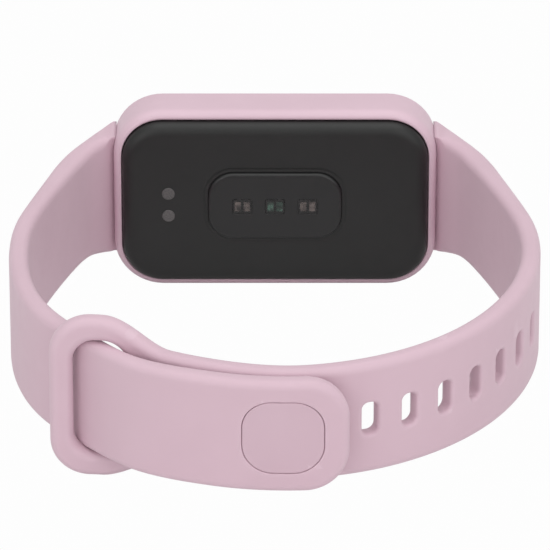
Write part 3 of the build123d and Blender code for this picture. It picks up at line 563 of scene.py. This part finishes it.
def circuit_board(name, mask, copper):
    """Printed board: solder mask over raised tracks, with bare pads."""
    n = Nodes(name)
    place = n.position()
    inputs = {"Vector": place, "Scale": 0.9}
    cells = n.add("ShaderNodeTexVoronoi", inputs, feature="DISTANCE_TO_EDGE", distance="CHEBYCHEV")
    tracks = n.ramp(cells.outputs["Distance"], 0.05, 0.09, 1.0, 0.0)
    pads = n.add("ShaderNodeTexVoronoi", {"Vector": place, "Scale": 1.3}, distance="CHEBYCHEV")
    bare = n.ramp(pads.outputs["Distance"], 0.12, 0.16, 1.0, 0.0)
    tinted = n.mix(tracks, mask, scaled(mask, 1.6))
    return n.surface(
        Base_Color=n.mix(bare, tinted, copper), Metallic=bare, Roughness=n.ramp(tracks, 0, 1, 0.42, 0.34),
        Normal=n.bump(tracks, 0.03, 0.5),
    )


def printed_film(name, base, tracks_colour):
    """Flexible printed film with long tracks."""
    n = Nodes(name)
    place = n.position()
    inputs = {"Vector": place, "Scale": 1.2, "Distortion": 0.4}
    waves = n.add("ShaderNodeTexWave", inputs, bands_direction="Z")
    lines = n.ramp(waves.outputs["Fac"], 0.45, 0.6, 0.0, 1.0)
    return n.surface(
        Base_Color=n.mix(lines, base, tracks_colour), Metallic=n.ramp(lines, 0, 1, 0.1, 0.7),
        Roughness=n.ramp(n.noise(place, 2.0), 0.3, 0.7, 0.3, 0.45), Normal=n.bump(lines, 0.02, 0.5),
    )


def wrapped_foil(name, colour):
    """Pouch cell foil: soft dents and crinkles in a satin metal."""
    n = Nodes(name)
    place = n.position()
    dents = n.noise(place, 0.35, 3.0, 0.5)
    crinkle = n.noise(place, 2.4, 5.0, 0.65)
    normal = n.bump(crinkle, 0.02, 0.5, n.bump(dents, 0.12, 0.5))
    return n.surface(
        Base_Color=n.mix(dents, colour, scaled(colour, 0.85)), Metallic=0.9,
        Roughness=n.ramp(crinkle, 0.3, 0.7, 0.28, 0.42), Normal=normal,
    )


PINK = srgb(209, 180, 192)
PINK_SHADE = srgb(205, 176, 188)
PINK_EDGE = srgb(217, 192, 203)

STRAP = soft_rubber("strap_rubber", PINK, PINK_SHADE, PINK_EDGE)
STUD = soft_rubber("stud_rubber", srgb(204, 176, 188), srgb(201, 172, 184), PINK_EDGE)
CASE = moulded_plastic("case_paint", srgb(214, 186, 198), srgb(211, 183, 195), 0.42, 0.004)
COVER = moulded_plastic("cover_plastic", srgb(20, 21, 20), srgb(17, 18, 17), 0.47, 0.006)
PLATEAU = moulded_plastic("plateau_plastic", srgb(17, 18, 18), srgb(14, 15, 15), 0.4, 0.002, coat=0.1)
SEAL = moulded_plastic("gasket_rubber", srgb(24, 24, 25), srgb(19, 19, 20), 0.7, 0.01)
CHASSIS = moulded_plastic("chassis_plastic", srgb(62, 62, 66), srgb(54, 54, 58), 0.55, 0.02)
CHIP = moulded_plastic("chip_resin", srgb(30, 30, 33), srgb(22, 22, 24), 0.5, 0.012)
BARRIER = moulded_plastic("barrier_foam", srgb(16, 16, 17), srgb(11, 11, 12), 0.8, 0.03)
LUG = moulded_plastic("lug_plastic", srgb(206, 178, 190), srgb(200, 171, 183), 0.45, 0.01)
DISPLAY = moulded_plastic("display_stack", srgb(12, 12, 15), srgb(8, 8, 10), 0.12, 0.002, coat=1.0)
DIODE = moulded_plastic("diode_face", srgb(122, 112, 110), srgb(66, 60, 60), 0.3, 0.01, coat=0.5)
LED = moulded_plastic("led_lens", srgb(92, 132, 112), srgb(66, 100, 86), 0.25, 0.006, coat=0.6)
OPTIC = clear_optic("optic_window", srgb(60, 58, 58), srgb(118, 108, 104), srgb(84, 116, 102), 0.05)
GLASS = dark_glass("screen_glass")
CONTACT = brushed_metal("contact_plating", srgb(116, 114, 113), srgb(94, 93, 93), 0.42, (1.0, 1.0, 1.0))
STEEL = brushed_metal("bar_steel", srgb(190, 190, 192), srgb(160, 160, 164), 0.3, (1.0, 1.0, 0.1))
SCREW = brushed_metal("screw_steel", srgb(176, 176, 178), srgb(140, 140, 144), 0.35)
MOTOR = brushed_metal("motor_steel", srgb(196, 197, 200), srgb(172, 173, 176), 0.3)
ROTOR = brushed_metal("rotor_metal", srgb(128, 128, 132), srgb(104, 104, 108), 0.38, (6.0, 1.0, 6.0))
BOARD = circuit_board("board_mask", srgb(20, 66, 44), srgb(196, 160, 96))
SENSOR_BOARD = circuit_board("sensor_board_mask", srgb(18, 20, 22), srgb(190, 170, 120))
FILM = printed_film("flex_film", srgb(150, 92, 34), srgb(190, 136, 70))
FOIL = wrapped_foil("battery_foil", srgb(182, 184, 188))


def set_material(obj, material):
    obj.data.materials.clear()
    obj.data.materials.append(material)
    return obj


def dress(material, *names):
    """Gives carried-over CAD nodes a material through their material slots."""
    for name in names:
        for slot in frame["nodes"][name].material_slots:
            slot.material = material


dress(OPTIC, "optical_windows")
dress(SEAL, "front_seal", "back_seal")
dress(DISPLAY, "display_panel")
dress(CHASSIS, "inner_chassis")
dress(SCREW, "chassis_screws")
dress(FOIL, "battery")
dress(BOARD, "main_board")
dress(SENSOR_BOARD, "sensor_board")
dress(CHIP, "board_chips")
dress(FILM, "display_flex", "contact_flex")
dress(LED, "green_led")
dress(DIODE, "photodiodes")
dress(BARRIER, "light_barrier")
dress(CONTACT, "charge_contacts")
dress(MOTOR, "motor_case", "motor_shaft")
dress(ROTOR, "motor_rotor")
dress(STUD, "stud_post")
for end in ("left", "right"):
    dress(LUG, end + "_connector")
    dress(STEEL, end + "_bar_tube", end + "_bar_tip_upper", end + "_bar_tip_lower", end + "_bar_spring")

# ================================================================ straps
RING_CENTRE_Y = 1.55
RING_OUTER = np.array([33.7, 36.1])     # half sizes of the ring in x and y
THICKNESS = 2.5
RING_INNER = RING_OUTER - THICKNESS
STRAP_HALF = 7.6
ROOT_HALF = 8.65
LOOP_HALF = 10.9
SLOT_COUNT = 9
SLOT_PITCH = 5.5
STUD_X = 1.0
STRAP_ROUND = 1.05
SLOT_HALF = (1.0, 2.15)
SLOT_CORNER = 0.85
SLOT_ROUND = 0.5
SLOT_INNER_ROUND = 1.2  # slots open wider towards the wrist
ROOT_ROUND = 0.12       # on the edge against the case
ROOT_BROAD = 1.35       # on the thick sides near the case
ROOT_SIDE = 0.05        # where the side edge of a strap starts
ROOT_BLEND = 2.2        # length over which a side comes out of its crease with the case
ROOT_CLOSE = 0.08       # closes most of the play between strap and case
ROOT_PINCH = 0.3        # how far the sides pull in at that crease
ROOT_FLARE_Y = (25.0, 34.6)
ROOT_BROAD_Y = (26.0, 32.0)  # where the edges grow from STRAP_ROUND to ROOT_BROAD
ROOT_HEADING = (0.66, -0.75)
SHOULDER_ANGLE = 17.9
LAST_RING_ANGLE = -84.83     # where the slotted strap leaves the ring for its loop
FLARE_X = (-13.0, -21.2)     # where that strap widens into the loop
LOOP_CORNER = 5.0
TONGUE_CORNER = 5.4
OPENING_X = (-17.6, -24.9)
OPENING_HALF = 7.8
OPENING_CORNER = 2.9
OPENING_STRAP_CORNER = 3.5
SIDE_STEP = 0.5         # between points along a strap's side
TURN_STEP = 0.3         # between points round its end
ROOT_POINTS = 24        # on half of the edge against the case
ROOT_INSET = 0.02       # keeps that edge's first point off the side
LONGEST_EDGE = 0.55


def ellipse_pair(side, degrees):
    """Outer and inner ring points at an angle from the x axis."""
    c, s = math.cos(math.radians(degrees)), math.sin(math.radians(degrees))
    return (
        (side * RING_OUTER[0] * c, RING_CENTRE_Y + RING_OUTER[1] * s),
        (side * RING_INNER[0] * c, RING_CENTRE_Y + RING_INNER[1] * s),
    )


def root_pairs(side):
    """Outer and inner points from the case down to the shoulder of the ring."""
    return [
        ((side * 21.3, 35.9), (side * 21.3, 30.9)),
        ((side * 26.35, 29.35), (side * 23.9, 27.9)),
        ((side * 29.35, 22.15), (side * 26.74, 21.15)),
    ]


def root_flare(path, distance):
    """Half width of a strap near its root, by distance along it."""
    y = path.pick(path.centre, distance)[:, 1]
    share = smooth_share((y - ROOT_FLARE_Y[0]) / (ROOT_FLARE_Y[1] - ROOT_FLARE_Y[0]))
    pinch = ROOT_PINCH * (1 - smooth_share((distance - ROOT_SIDE) / ROOT_BLEND))
    return STRAP_HALF + (ROOT_HALF - STRAP_HALF) * share - pinch


def smooth_share(value):
    value = np.clip(value, 0, 1)
    return value * value * (3 - 2 * value)


def case_step(height):
    """How far the case's end stands back at a height, where its corners turn away."""
    turned = np.clip(np.abs(height) - (CASE_HALF_Z - CASE_CORNER), 0, CASE_CORNER)
    return CASE_CORNER - np.sqrt(CASE_CORNER ** 2 - turned ** 2)


def strap_outline(path, half_width, end_corner):
    """Closed outline of a strap in its flat layout, from a half width by distance."""
    end = path.length
    body = np.arange(ROOT_SIDE, end - end_corner, SIDE_STEP)
    body = np.append(body, end - end_corner)
    widths = half_width(body)
    lower = np.column_stack([body, -widths])
    end_width = widths[-1]
    steps = int(end_corner * math.pi / 2 / TURN_STEP)
    turn = [
        (end - end_corner + end_corner * math.sin(a), -(end_width - end_corner) - end_corner * math.cos(a))
        for a in np.linspace(0, math.pi / 2, steps + 1)[1:]
    ]
    heights = np.linspace(widths[0] - ROOT_INSET, 0, ROOT_POINTS)
    root = np.column_stack([-case_step(heights) - ROOT_CLOSE, heights])
    turn = np.array(turn)
    mirror = np.array([1, -1])
    loop = np.vstack([lower, turn, turn[::-1] * mirror, lower[::-1] * mirror, root, root[-2::-1] * mirror])
    return fill_gaps(loop, LONGEST_EDGE)


hole_path = StrapPath(
    root_pairs(1)
    + [ellipse_pair(1, a) for a in np.linspace(SHOULDER_ANGLE, LAST_RING_ANGLE, 15)]
    + [
        ((-6.9, -33.0), (-6.2, -30.6)),
        ((-13.0, -30.6), (-12.0, -28.3)),
        ((-18.0, -28.15), (-17.0, -25.9)),
        ((-22.4, -27.2), (-22.0, -24.7)),
        ((-27.8, -27.2), (-27.8, -24.7)),
    ],
    ROOT_HEADING, (-1, 0),
)

FLARE_FROM, FLARE_TO = (hole_path.at_x(x) for x in FLARE_X)


def hole_half_width(distance):
    """Half width of the slotted strap: wider at its root, and widest round its loop."""
    share = smooth_share((distance - FLARE_FROM) / (FLARE_TO - FLARE_FROM))
    wide = STRAP_HALF + (LOOP_HALF - STRAP_HALF) * share
    return np.maximum(root_flare(hole_path, distance), wide)


def slot_loops():
    """Adjustment slots at an even pitch along the outer face."""
    outer_length = running_length(hole_path.outer)
    below = np.where(hole_path.outer[:, 1] < 0)[0]
    stud = below[np.argmin(np.abs(hole_path.outer[below, 0] - STUD_X))]
    loops = []
    for k in range(SLOT_COUNT):
        distance = np.interp(outer_length[stud] - k * SLOT_PITCH, outer_length, hole_path.distance)
        loops.append(rounded_rect(distance, 0, *SLOT_HALF, SLOT_CORNER, 0.14))
    return loops


def loop_opening():
    """Opening of the loop that the tongue passes through."""
    start, end = (hole_path.at_x(x) for x in OPENING_X)
    middle, half = (start + end) / 2, (end - start) / 2
    return rounded_rect(middle, 0, half, OPENING_HALF, OPENING_CORNER, low_corner=OPENING_STRAP_CORNER)


def strap_rounding(path, outline):
    """Edge radius around a strap: soft all along, tight only on the edge against the case."""
    y = path.pick(path.centre, outline[:, 0])[:, 1]
    thick = smooth_share((y - ROOT_BROAD_Y[0]) / (ROOT_BROAD_Y[1] - ROOT_BROAD_Y[0]))
    side = STRAP_ROUND + (ROOT_BROAD - STRAP_ROUND) * thick
    share = smooth_share((outline[:, 0] - ROOT_SIDE) / ROOT_BLEND)
    return ROOT_ROUND + (side - ROOT_ROUND) * share


hole_outline = strap_outline(hole_path, hole_half_width, LOOP_CORNER)
edge_rounds = [strap_rounding(hole_path, hole_outline), STRAP_ROUND]
hole_strap = slab(
    "hole_strap_soft",
    hole_outline,
    [loop_opening()] + slot_loops(),
    edge_rounds + [SLOT_ROUND] * SLOT_COUNT,
    hole_path.place,
    inner_rounding=edge_rounds + [SLOT_INNER_ROUND] * SLOT_COUNT,
)
set_material(hole_strap, STRAP)
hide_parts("hole_strap")
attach(hole_strap, "band")

# ================================================================ tongue
TONGUE_CENTRE = np.array([1.5, -2.45])
TONGUE_OUTER = 35.0
TONGUE_INNER = 32.35
PEEL_BEND = (3.6, 3.6)  # length of strap before and after each fold axis
CURL_BEND = (5.0, 3.2)
SEAM_SCALE = 1e7        # a metre over this is the tolerance for points that lie on the cut


def tongue_pair(x):
    """Outer and inner tongue points near an x position."""
    angle = math.asin((x - TONGUE_CENTRE[0]) / TONGUE_OUTER)
    ray = np.array([math.sin(angle), -math.cos(angle)])
    return (tuple(TONGUE_CENTRE + TONGUE_OUTER * ray), tuple(TONGUE_CENTRE + TONGUE_INNER * ray))


stud_path = StrapPath(
    root_pairs(-1)
    + [ellipse_pair(-1, a) for a in np.linspace(SHOULDER_ANGLE, 0, 4)]
    + [
        ((-32.75, -9.2), (-30.3, -8.8)),
        ((-29.35, -18.55), (-27.1, -17.35)),
        ((-22.8, -26.95), (-20.95, -25.45)),
        ((-18.2, -31.55), (-16.75, -29.65)),
    ]
    + [tongue_pair(x) for x in (-9.5, -6.0, -2.0, 2.0, 6.0, 9.3)],
    (-ROOT_HEADING[0], ROOT_HEADING[1]), (0.98, 0.2),
)

CAP_HALF = np.array([4.85, 4.825])
CAP_CORNER = 3.65
CAP_GAP = 0.09
CAP_ROUND = 0.1
CAP_SINK = 0.02
CAP_CROWN = 0.05
CAP_DEPTH = 0.9
cap_at = stud_path.at_x(STUD_X)
cap_loop = rounded_rect(cap_at, 0, *CAP_HALF, CAP_CORNER, 0.2)
RECESS = (cap_loop, [
    (CAP_GAP + 0.6, 0.0),
    (CAP_GAP + 0.14, 0.0),
    (CAP_GAP + 0.08, 0.01),
    (CAP_GAP + 0.03, 0.04),
    (CAP_GAP + 0.01, 0.09),
    (CAP_GAP, 0.16),
    (CAP_GAP, 0.32),
    (-0.2, 0.42),
])


def stud_half_width(distance):
    return root_flare(stud_path, distance)


stud_outline = strap_outline(stud_path, stud_half_width, TONGUE_CORNER)
stud_strap = slab(
    "stud_strap_soft",
    stud_outline,
    [],
    [strap_rounding(stud_path, stud_outline)],
    stud_path.place,
    recess=RECESS,
)
set_material(stud_strap, STRAP)


def seam_key(vertex):
    """A vertex's place as whole numbers, the same for points that meet at the cut."""
    return tuple(round(value * SEAM_SCALE) for value in vertex.co)


def split(obj, name, point, direction):
    """Cuts an object in two at a plane. The far half gets the new name.

    Shading runs on across the cut.
    """
    other = obj.copy()
    other.data = obj.data.copy()
    other.name = name
    other.data.name = name
    bpy.context.scene.collection.objects.link(other)
    for half, near in ((obj, True), (other, False)):
        work = bmesh.new()
        work.from_mesh(half.data)
        bmesh.ops.bisect_plane(
            work, geom=work.verts[:] + work.edges[:] + work.faces[:], plane_co=point, plane_no=direction,
            clear_outer=near, clear_inner=not near,
        )
        work.to_mesh(half.data)
        work.free()
    shared = {}
    for half in (obj, other):
        for vertex in half.data.vertices:
            if abs((vertex.co - point).dot(direction)) < 1 / SEAM_SCALE:
                key = seam_key(vertex)
                shared[key] = shared.get(key, Vector()) + vertex.normal
    for half in (obj, other):
        normals = []
        for vertex in half.data.vertices:
            key = seam_key(vertex)
            normals.append(shared[key].normalized() if key in shared else vertex.normal)
        half.data.normals_split_custom_set_from_vertices(normals)
    return other


def joint_place(name):
    """A point of a joint's axis, in millimetres."""
    joint = next(joint for joint in frame["joints"] if joint["name"] == name)
    return np.array(joint["pos_m"]) / MM


PEEL = joint_place("tongue_peel")
CURL = joint_place("tongue_curl")
seam_distance = stud_path.at_x((PEEL[0] + CURL[0]) / 2)
seam_point = stud_path.pick(stud_path.centre, np.array([seam_distance]))[0]
seam_next = stud_path.pick(stud_path.centre, np.array([seam_distance + 0.5]))[0]
seam_heading = (seam_next - seam_point) / np.linalg.norm(seam_next - seam_point)


def metres(plan):
    """A point of the plan at half height, in metres."""
    return Vector((plan[0] * MM, plan[1] * MM, MID_Z * MM))


tongue_tip = split(stud_strap, "tongue_tip_soft", metres(seam_point), Vector((*seam_heading, 0)))


def bend_at(obj, first, second, pivot, before, after):
    """Finds the stretch of the strap before and after a fold axis, and bakes the piece's transform into
    its mesh.
    """
    middle = stud_path.distance[np.argmin(np.linalg.norm(stud_path.centre - pivot[:2], axis=1))]
    ends = stud_path.pick(stud_path.centre, np.array([middle - before, middle + after]))
    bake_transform(obj)


bend_at(stud_strap, "band", "tongue", PEEL, *PEEL_BEND)
bend_at(tongue_tip, "tongue", "tongue_end", CURL, *CURL_BEND)
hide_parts("stud_strap", "tongue_middle")
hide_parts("tongue_tip")


def cap_place(flat, drop, outer_side):
    """Stud cap: follows the tongue's face, a touch lower than it and slightly crowned."""
    reach = np.abs((flat - [cap_at, 0]) / CAP_HALF)
    crown = CAP_CROWN * np.clip(reach ** 2, 0, 1).sum(axis=1)
    if outer_side:
        return stud_path.place(flat, drop + CAP_SINK + crown, True)
    return stud_path.place(flat, CAP_DEPTH - drop, True)


stud_cap = slab("stud_cap_soft", cap_loop, [], CAP_ROUND, cap_place, grid=0.7, steps=4)
set_material(stud_cap, STUD)
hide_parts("stud_cap")
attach(stud_cap, "tongue_end")

# ================================================================ tracker shell
BACK_Y = CASE_LOW[1]
FRONT_Y = CASE_HIGH[1]
COVER_LOW, COVER_HIGH = node_box("back_cover")
PLATEAU_LOW, PLATEAU_HIGH = node_box("sensor_window")
GLASS_LOW, GLASS_HIGH = node_box("front_glass")

SEAT_GAP = 0.06         # between the back cover and the case
SEAT_CORNER = 5.31
SEAT_DEPTHS = (1.0, 0.28)
RIM_SET_BACK = 0.06     # of the case's rounded rim on the wrist side
RIM_DEPTH = 1.5
RIM_FLAT = 0.12
LIP_DEPTH = 0.7         # of the case's lip on the screen side
LIP_INSET = 0.6
CAVITY = (18.0, 10.2, 3.6)      # half x, half z, corner
COVER_CORNER = 5.25
COVER_DOME = (1.3, 1.75)        # depth and inset of the back cover's rounded edge
MOAT_OUTSIDE = (1.15, 4.4)      # how far the cover's flat ring stands off the plateau, and its corner
MOAT_DEPTH = 0.07
MOAT_WIDTH = 0.68
MOAT_STEPS = 8
MOAT_CORNER = 3.32
PLATEAU_GAP = 0.02
COVER_WELL = (1.2, 0.01, 3.31)  # depth, gap and corner of the wall that drops round the plateau
GLASS_CORNER = 5.8
GLASS_FOOT = (0.25, 5.55)       # inset and corner where the glass meets its seal
GLASS_SIDE_Y = (0.1, 0.12)      # heights of its upright side
GLASS_ROLL = 1.7
GLASS_FLAT = (3.0, 2.8)         # inset and corner of its flat middle
PLATEAU_CORNER = 3.3
PLATEAU_ROUNDS = [0.5, 0.06, 0.06, 0.06]    # on its outline and on the three openings
OPTIC_HALF = (1.3, 1.1)
OPTIC_CORNER = 0.35


def edge_stations(y_face, y_side, half_x, half_z, corner, inset, steps):
    """Stations round an edge, from a face to the side: the face is inset from the side's outline."""
    rows = []
    for k in range(steps + 1):
        angle = math.pi / 2 * k / steps
        back = inset * (1 - math.sin(angle))
        y = y_face + (y_side - y_face) * (1 - math.cos(angle))
        rows.append((y, half_x - back, half_z - back, corner - back))
    return rows


def tracker_case():
    """Hollow case: rounded rim on the wrist side, softer lip on the screen side."""
    seat_x, seat_z = COVER_HIGH[0] + SEAT_GAP, COVER_HIGH[2] - MID_Z + SEAT_GAP
    inset = CASE_HALF_X - seat_x - RIM_FLAT
    outside = (CASE_HALF_X, CASE_HALF_Z, CASE_CORNER)
    inner = [(BACK_Y + depth, seat_x, seat_z, SEAT_CORNER) for depth in SEAT_DEPTHS]
    back = edge_stations(BACK_Y + RIM_SET_BACK, BACK_Y + RIM_DEPTH, *outside, inset, 10)
    front = edge_stations(FRONT_Y, FRONT_Y - LIP_DEPTH, *outside, LIP_INSET, 7)[::-1]
    hollow = [(FRONT_Y, *CAVITY), (BACK_Y + SEAT_DEPTHS[0], *CAVITY)]
    shell = loft("case_shell", inner + back + front + hollow + inner[:1], closed=False)
    return sharpen(shell, 55)


def back_cover():
    """Domed back cover with a shallow moat round the sensor plateau."""
    face, side = COVER_LOW[1], COVER_HIGH[1]
    half_x, half_z = COVER_HIGH[0], COVER_HIGH[2] - MID_Z
    plateau_x, plateau_z = PLATEAU_HIGH[0], PLATEAU_HIGH[2] - MID_Z
    dome_depth, dome_inset = COVER_DOME
    stand_off, flat_corner = MOAT_OUTSIDE
    well_depth, well_gap, well_corner = COVER_WELL
    rows = [(side, half_x, half_z, COVER_CORNER)]
    rows += edge_stations(face, face + dome_depth, half_x, half_z, COVER_CORNER, dome_inset, 12)[::-1]
    rows.append((face, plateau_x + stand_off, plateau_z + stand_off, flat_corner))
    for k in range(MOAT_STEPS + 1):
        angle = math.pi * k / MOAT_STEPS
        out = MOAT_WIDTH * (1 - k / MOAT_STEPS)
        rows.append((
            face + MOAT_DEPTH * (1 - math.cos(2 * angle)) / 2,
            plateau_x + PLATEAU_GAP + out,
            plateau_z + PLATEAU_GAP + out,
            MOAT_CORNER + out,
        ))
    rows.append((face + well_depth, plateau_x + well_gap, plateau_z + well_gap, well_corner))
    return sharpen(loft("back_cover_skin", rows, closed=False), 45)


def front_glass():
    """Cover glass with a rolled edge all round."""
    half_x, half_z = GLASS_HIGH[0], GLASS_HIGH[2] - MID_Z
    foot_inset, foot_corner = GLASS_FOOT
    flat_inset, flat_corner = GLASS_FLAT
    side_low, side_high = (GLASS_LOW[1] + height for height in GLASS_SIDE_Y)
    rows = [(GLASS_LOW[1], half_x - foot_inset, half_z - foot_inset, foot_corner)]
    rows.append((side_low, half_x, half_z, GLASS_CORNER))
    rows += edge_stations(GLASS_HIGH[1], side_high, half_x, half_z, GLASS_CORNER, GLASS_ROLL, 12)[::-1]
    rows.append((GLASS_HIGH[1], half_x - flat_inset, half_z - flat_inset, flat_corner))
    return loft("screen_cover", rows)


def plateau_place(flat, drop, outer_side):
    """Sensor plateau: a flat layout in x and z, with its outer side facing the wrist."""
    y = PLATEAU_LOW[1] + drop if outer_side else np.full(len(flat), PLATEAU_HIGH[1]) - drop
    return np.column_stack([flat[:, 0], y, MID_Z + flat[:, 1]])


def sensor_plateau():
    """Raised window plate with three openings for the optics."""
    optics = [rounded_rect(k * OPTIC_X, 0, *OPTIC_HALF, OPTIC_CORNER, 0.12) for k in (-1, 0, 1)]
    outline = rounded_rect(0, 0, PLATEAU_HIGH[0], PLATEAU_HIGH[2] - MID_Z, PLATEAU_CORNER, 0.3)
    return slab("sensor_plateau", outline, optics, PLATEAU_ROUNDS, plateau_place, grid=0.8)


case_shell = set_material(tracker_case(), CASE)
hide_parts("tracker_case")
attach(case_shell, "band")

cover_skin = set_material(back_cover(), COVER)
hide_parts("back_cover")
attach(cover_skin, "band")

plateau = set_material(sensor_plateau(), PLATEAU)
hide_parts("sensor_window")
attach(plateau, "band")

screen = set_material(front_glass(), GLASS)
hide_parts("front_glass")
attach(screen, "band")

# ================================================================ camera, light and floor
CAMERA_AT = Vector((0, -673.25, 353.2)) * MM
CAMERA_TO = Vector((0, -2.55, 17.5)) * MM
LIGHTS_AIM = Vector((0, 0, 0.01))
FLOOR_HALF = 4
PAPER_WHITE = 0.985     # what the camera sees of the floor and the world
SKY_STRENGTH = 0.6

camera_data = bpy.data.cameras.new("camera")
camera_data.lens = 388.1
camera_data.sensor_width = 36
camera_data.clip_start = 0.01
camera_data.clip_end = 20
camera = bpy.data.objects.new("camera", camera_data)
bpy.context.scene.collection.objects.link(camera)
camera.location = CAMERA_AT
camera.rotation_euler = (CAMERA_TO - CAMERA_AT).to_track_quat("-Z", "Y").to_euler()
bpy.context.scene.camera = camera


def area_light(name, place, size, power):
    """Soft panel that shines at the band."""
    data = bpy.data.lights.new(name, "AREA")
    data.shape = "RECTANGLE"
    data.size, data.size_y = size
    data.energy = power
    light = bpy.data.objects.new(name, data)
    bpy.context.scene.collection.objects.link(light)
    light.location = Vector(place)
    light.rotation_euler = (LIGHTS_AIM - Vector(place)).to_track_quat("-Z", "Y").to_euler()


area_light("top_panel", (0.05, -0.1, 0.75), (0.9, 0.9), 3.1)
area_light("left_panel", (-0.5, -0.7, 0.38), (0.6, 0.5), 1.3)
area_light("right_panel", (0.5, -0.7, 0.38), (0.6, 0.5), 1.4)


def seen_white(tree, shader, output, kind):
    """Shows plain white to the camera and keeps the given shader for all other light."""
    path = tree.nodes.new("ShaderNodeLightPath")
    white = tree.nodes.new(kind)
    white.inputs["Color"].default_value = (1, 1, 1, 1)
    white.inputs["Strength"].default_value = PAPER_WHITE
    mix = tree.nodes.new("ShaderNodeMixShader")
    tree.links.new(path.outputs["Is Camera Ray"], mix.inputs[0])
    tree.links.new(shader, mix.inputs[1])
    tree.links.new(white.outputs[0], mix.inputs[2])
    tree.links.new(mix.outputs[0], output.inputs["Surface"])


def paper_floor():
    """Plain pale floor of faintly fibrous paper."""
    half = FLOOR_HALF
    mesh = bpy.data.meshes.new("floor")
    corners = [(-half, -half, 0), (half, -half, 0), (half, half, 0), (-half, half, 0)]
    mesh.from_pydata(corners, [], [(0, 1, 2, 3)])
    floor = bpy.data.objects.new("floor", mesh)
    bpy.context.scene.collection.objects.link(floor)
    n = Nodes("floor_paper")
    fibres = n.noise(n.position(), 0.8, 4.0)
    pale = n.mix(fibres, (0.80, 0.80, 0.80, 1), (0.83, 0.83, 0.83, 1))
    set_material(floor, n.surface(Base_Color=pale, Roughness=0.9))
    paper = next(node for node in n.tree.nodes if node.bl_idname == "ShaderNodeBsdfPrincipled")
    seen_white(n.tree, paper.outputs[0], n.out, "ShaderNodeEmission")
    return floor


def studio_world():
    """Even pale light from all round."""
    world = bpy.data.worlds.new("studio")
    world.use_nodes = True
    sky = world.node_tree.nodes["Background"]
    sky.inputs["Color"].default_value = (1, 1, 1, 1)
    sky.inputs["Strength"].default_value = SKY_STRENGTH
    out = next(node for node in world.node_tree.nodes if node.bl_idname == "ShaderNodeOutputWorld")
    seen_white(world.node_tree, sky.outputs[0], out, "ShaderNodeBackground")
    return world


paper_floor()
bpy.context.scene.world = studio_world()
bpy.context.scene.view_settings.view_transform = "Standard"
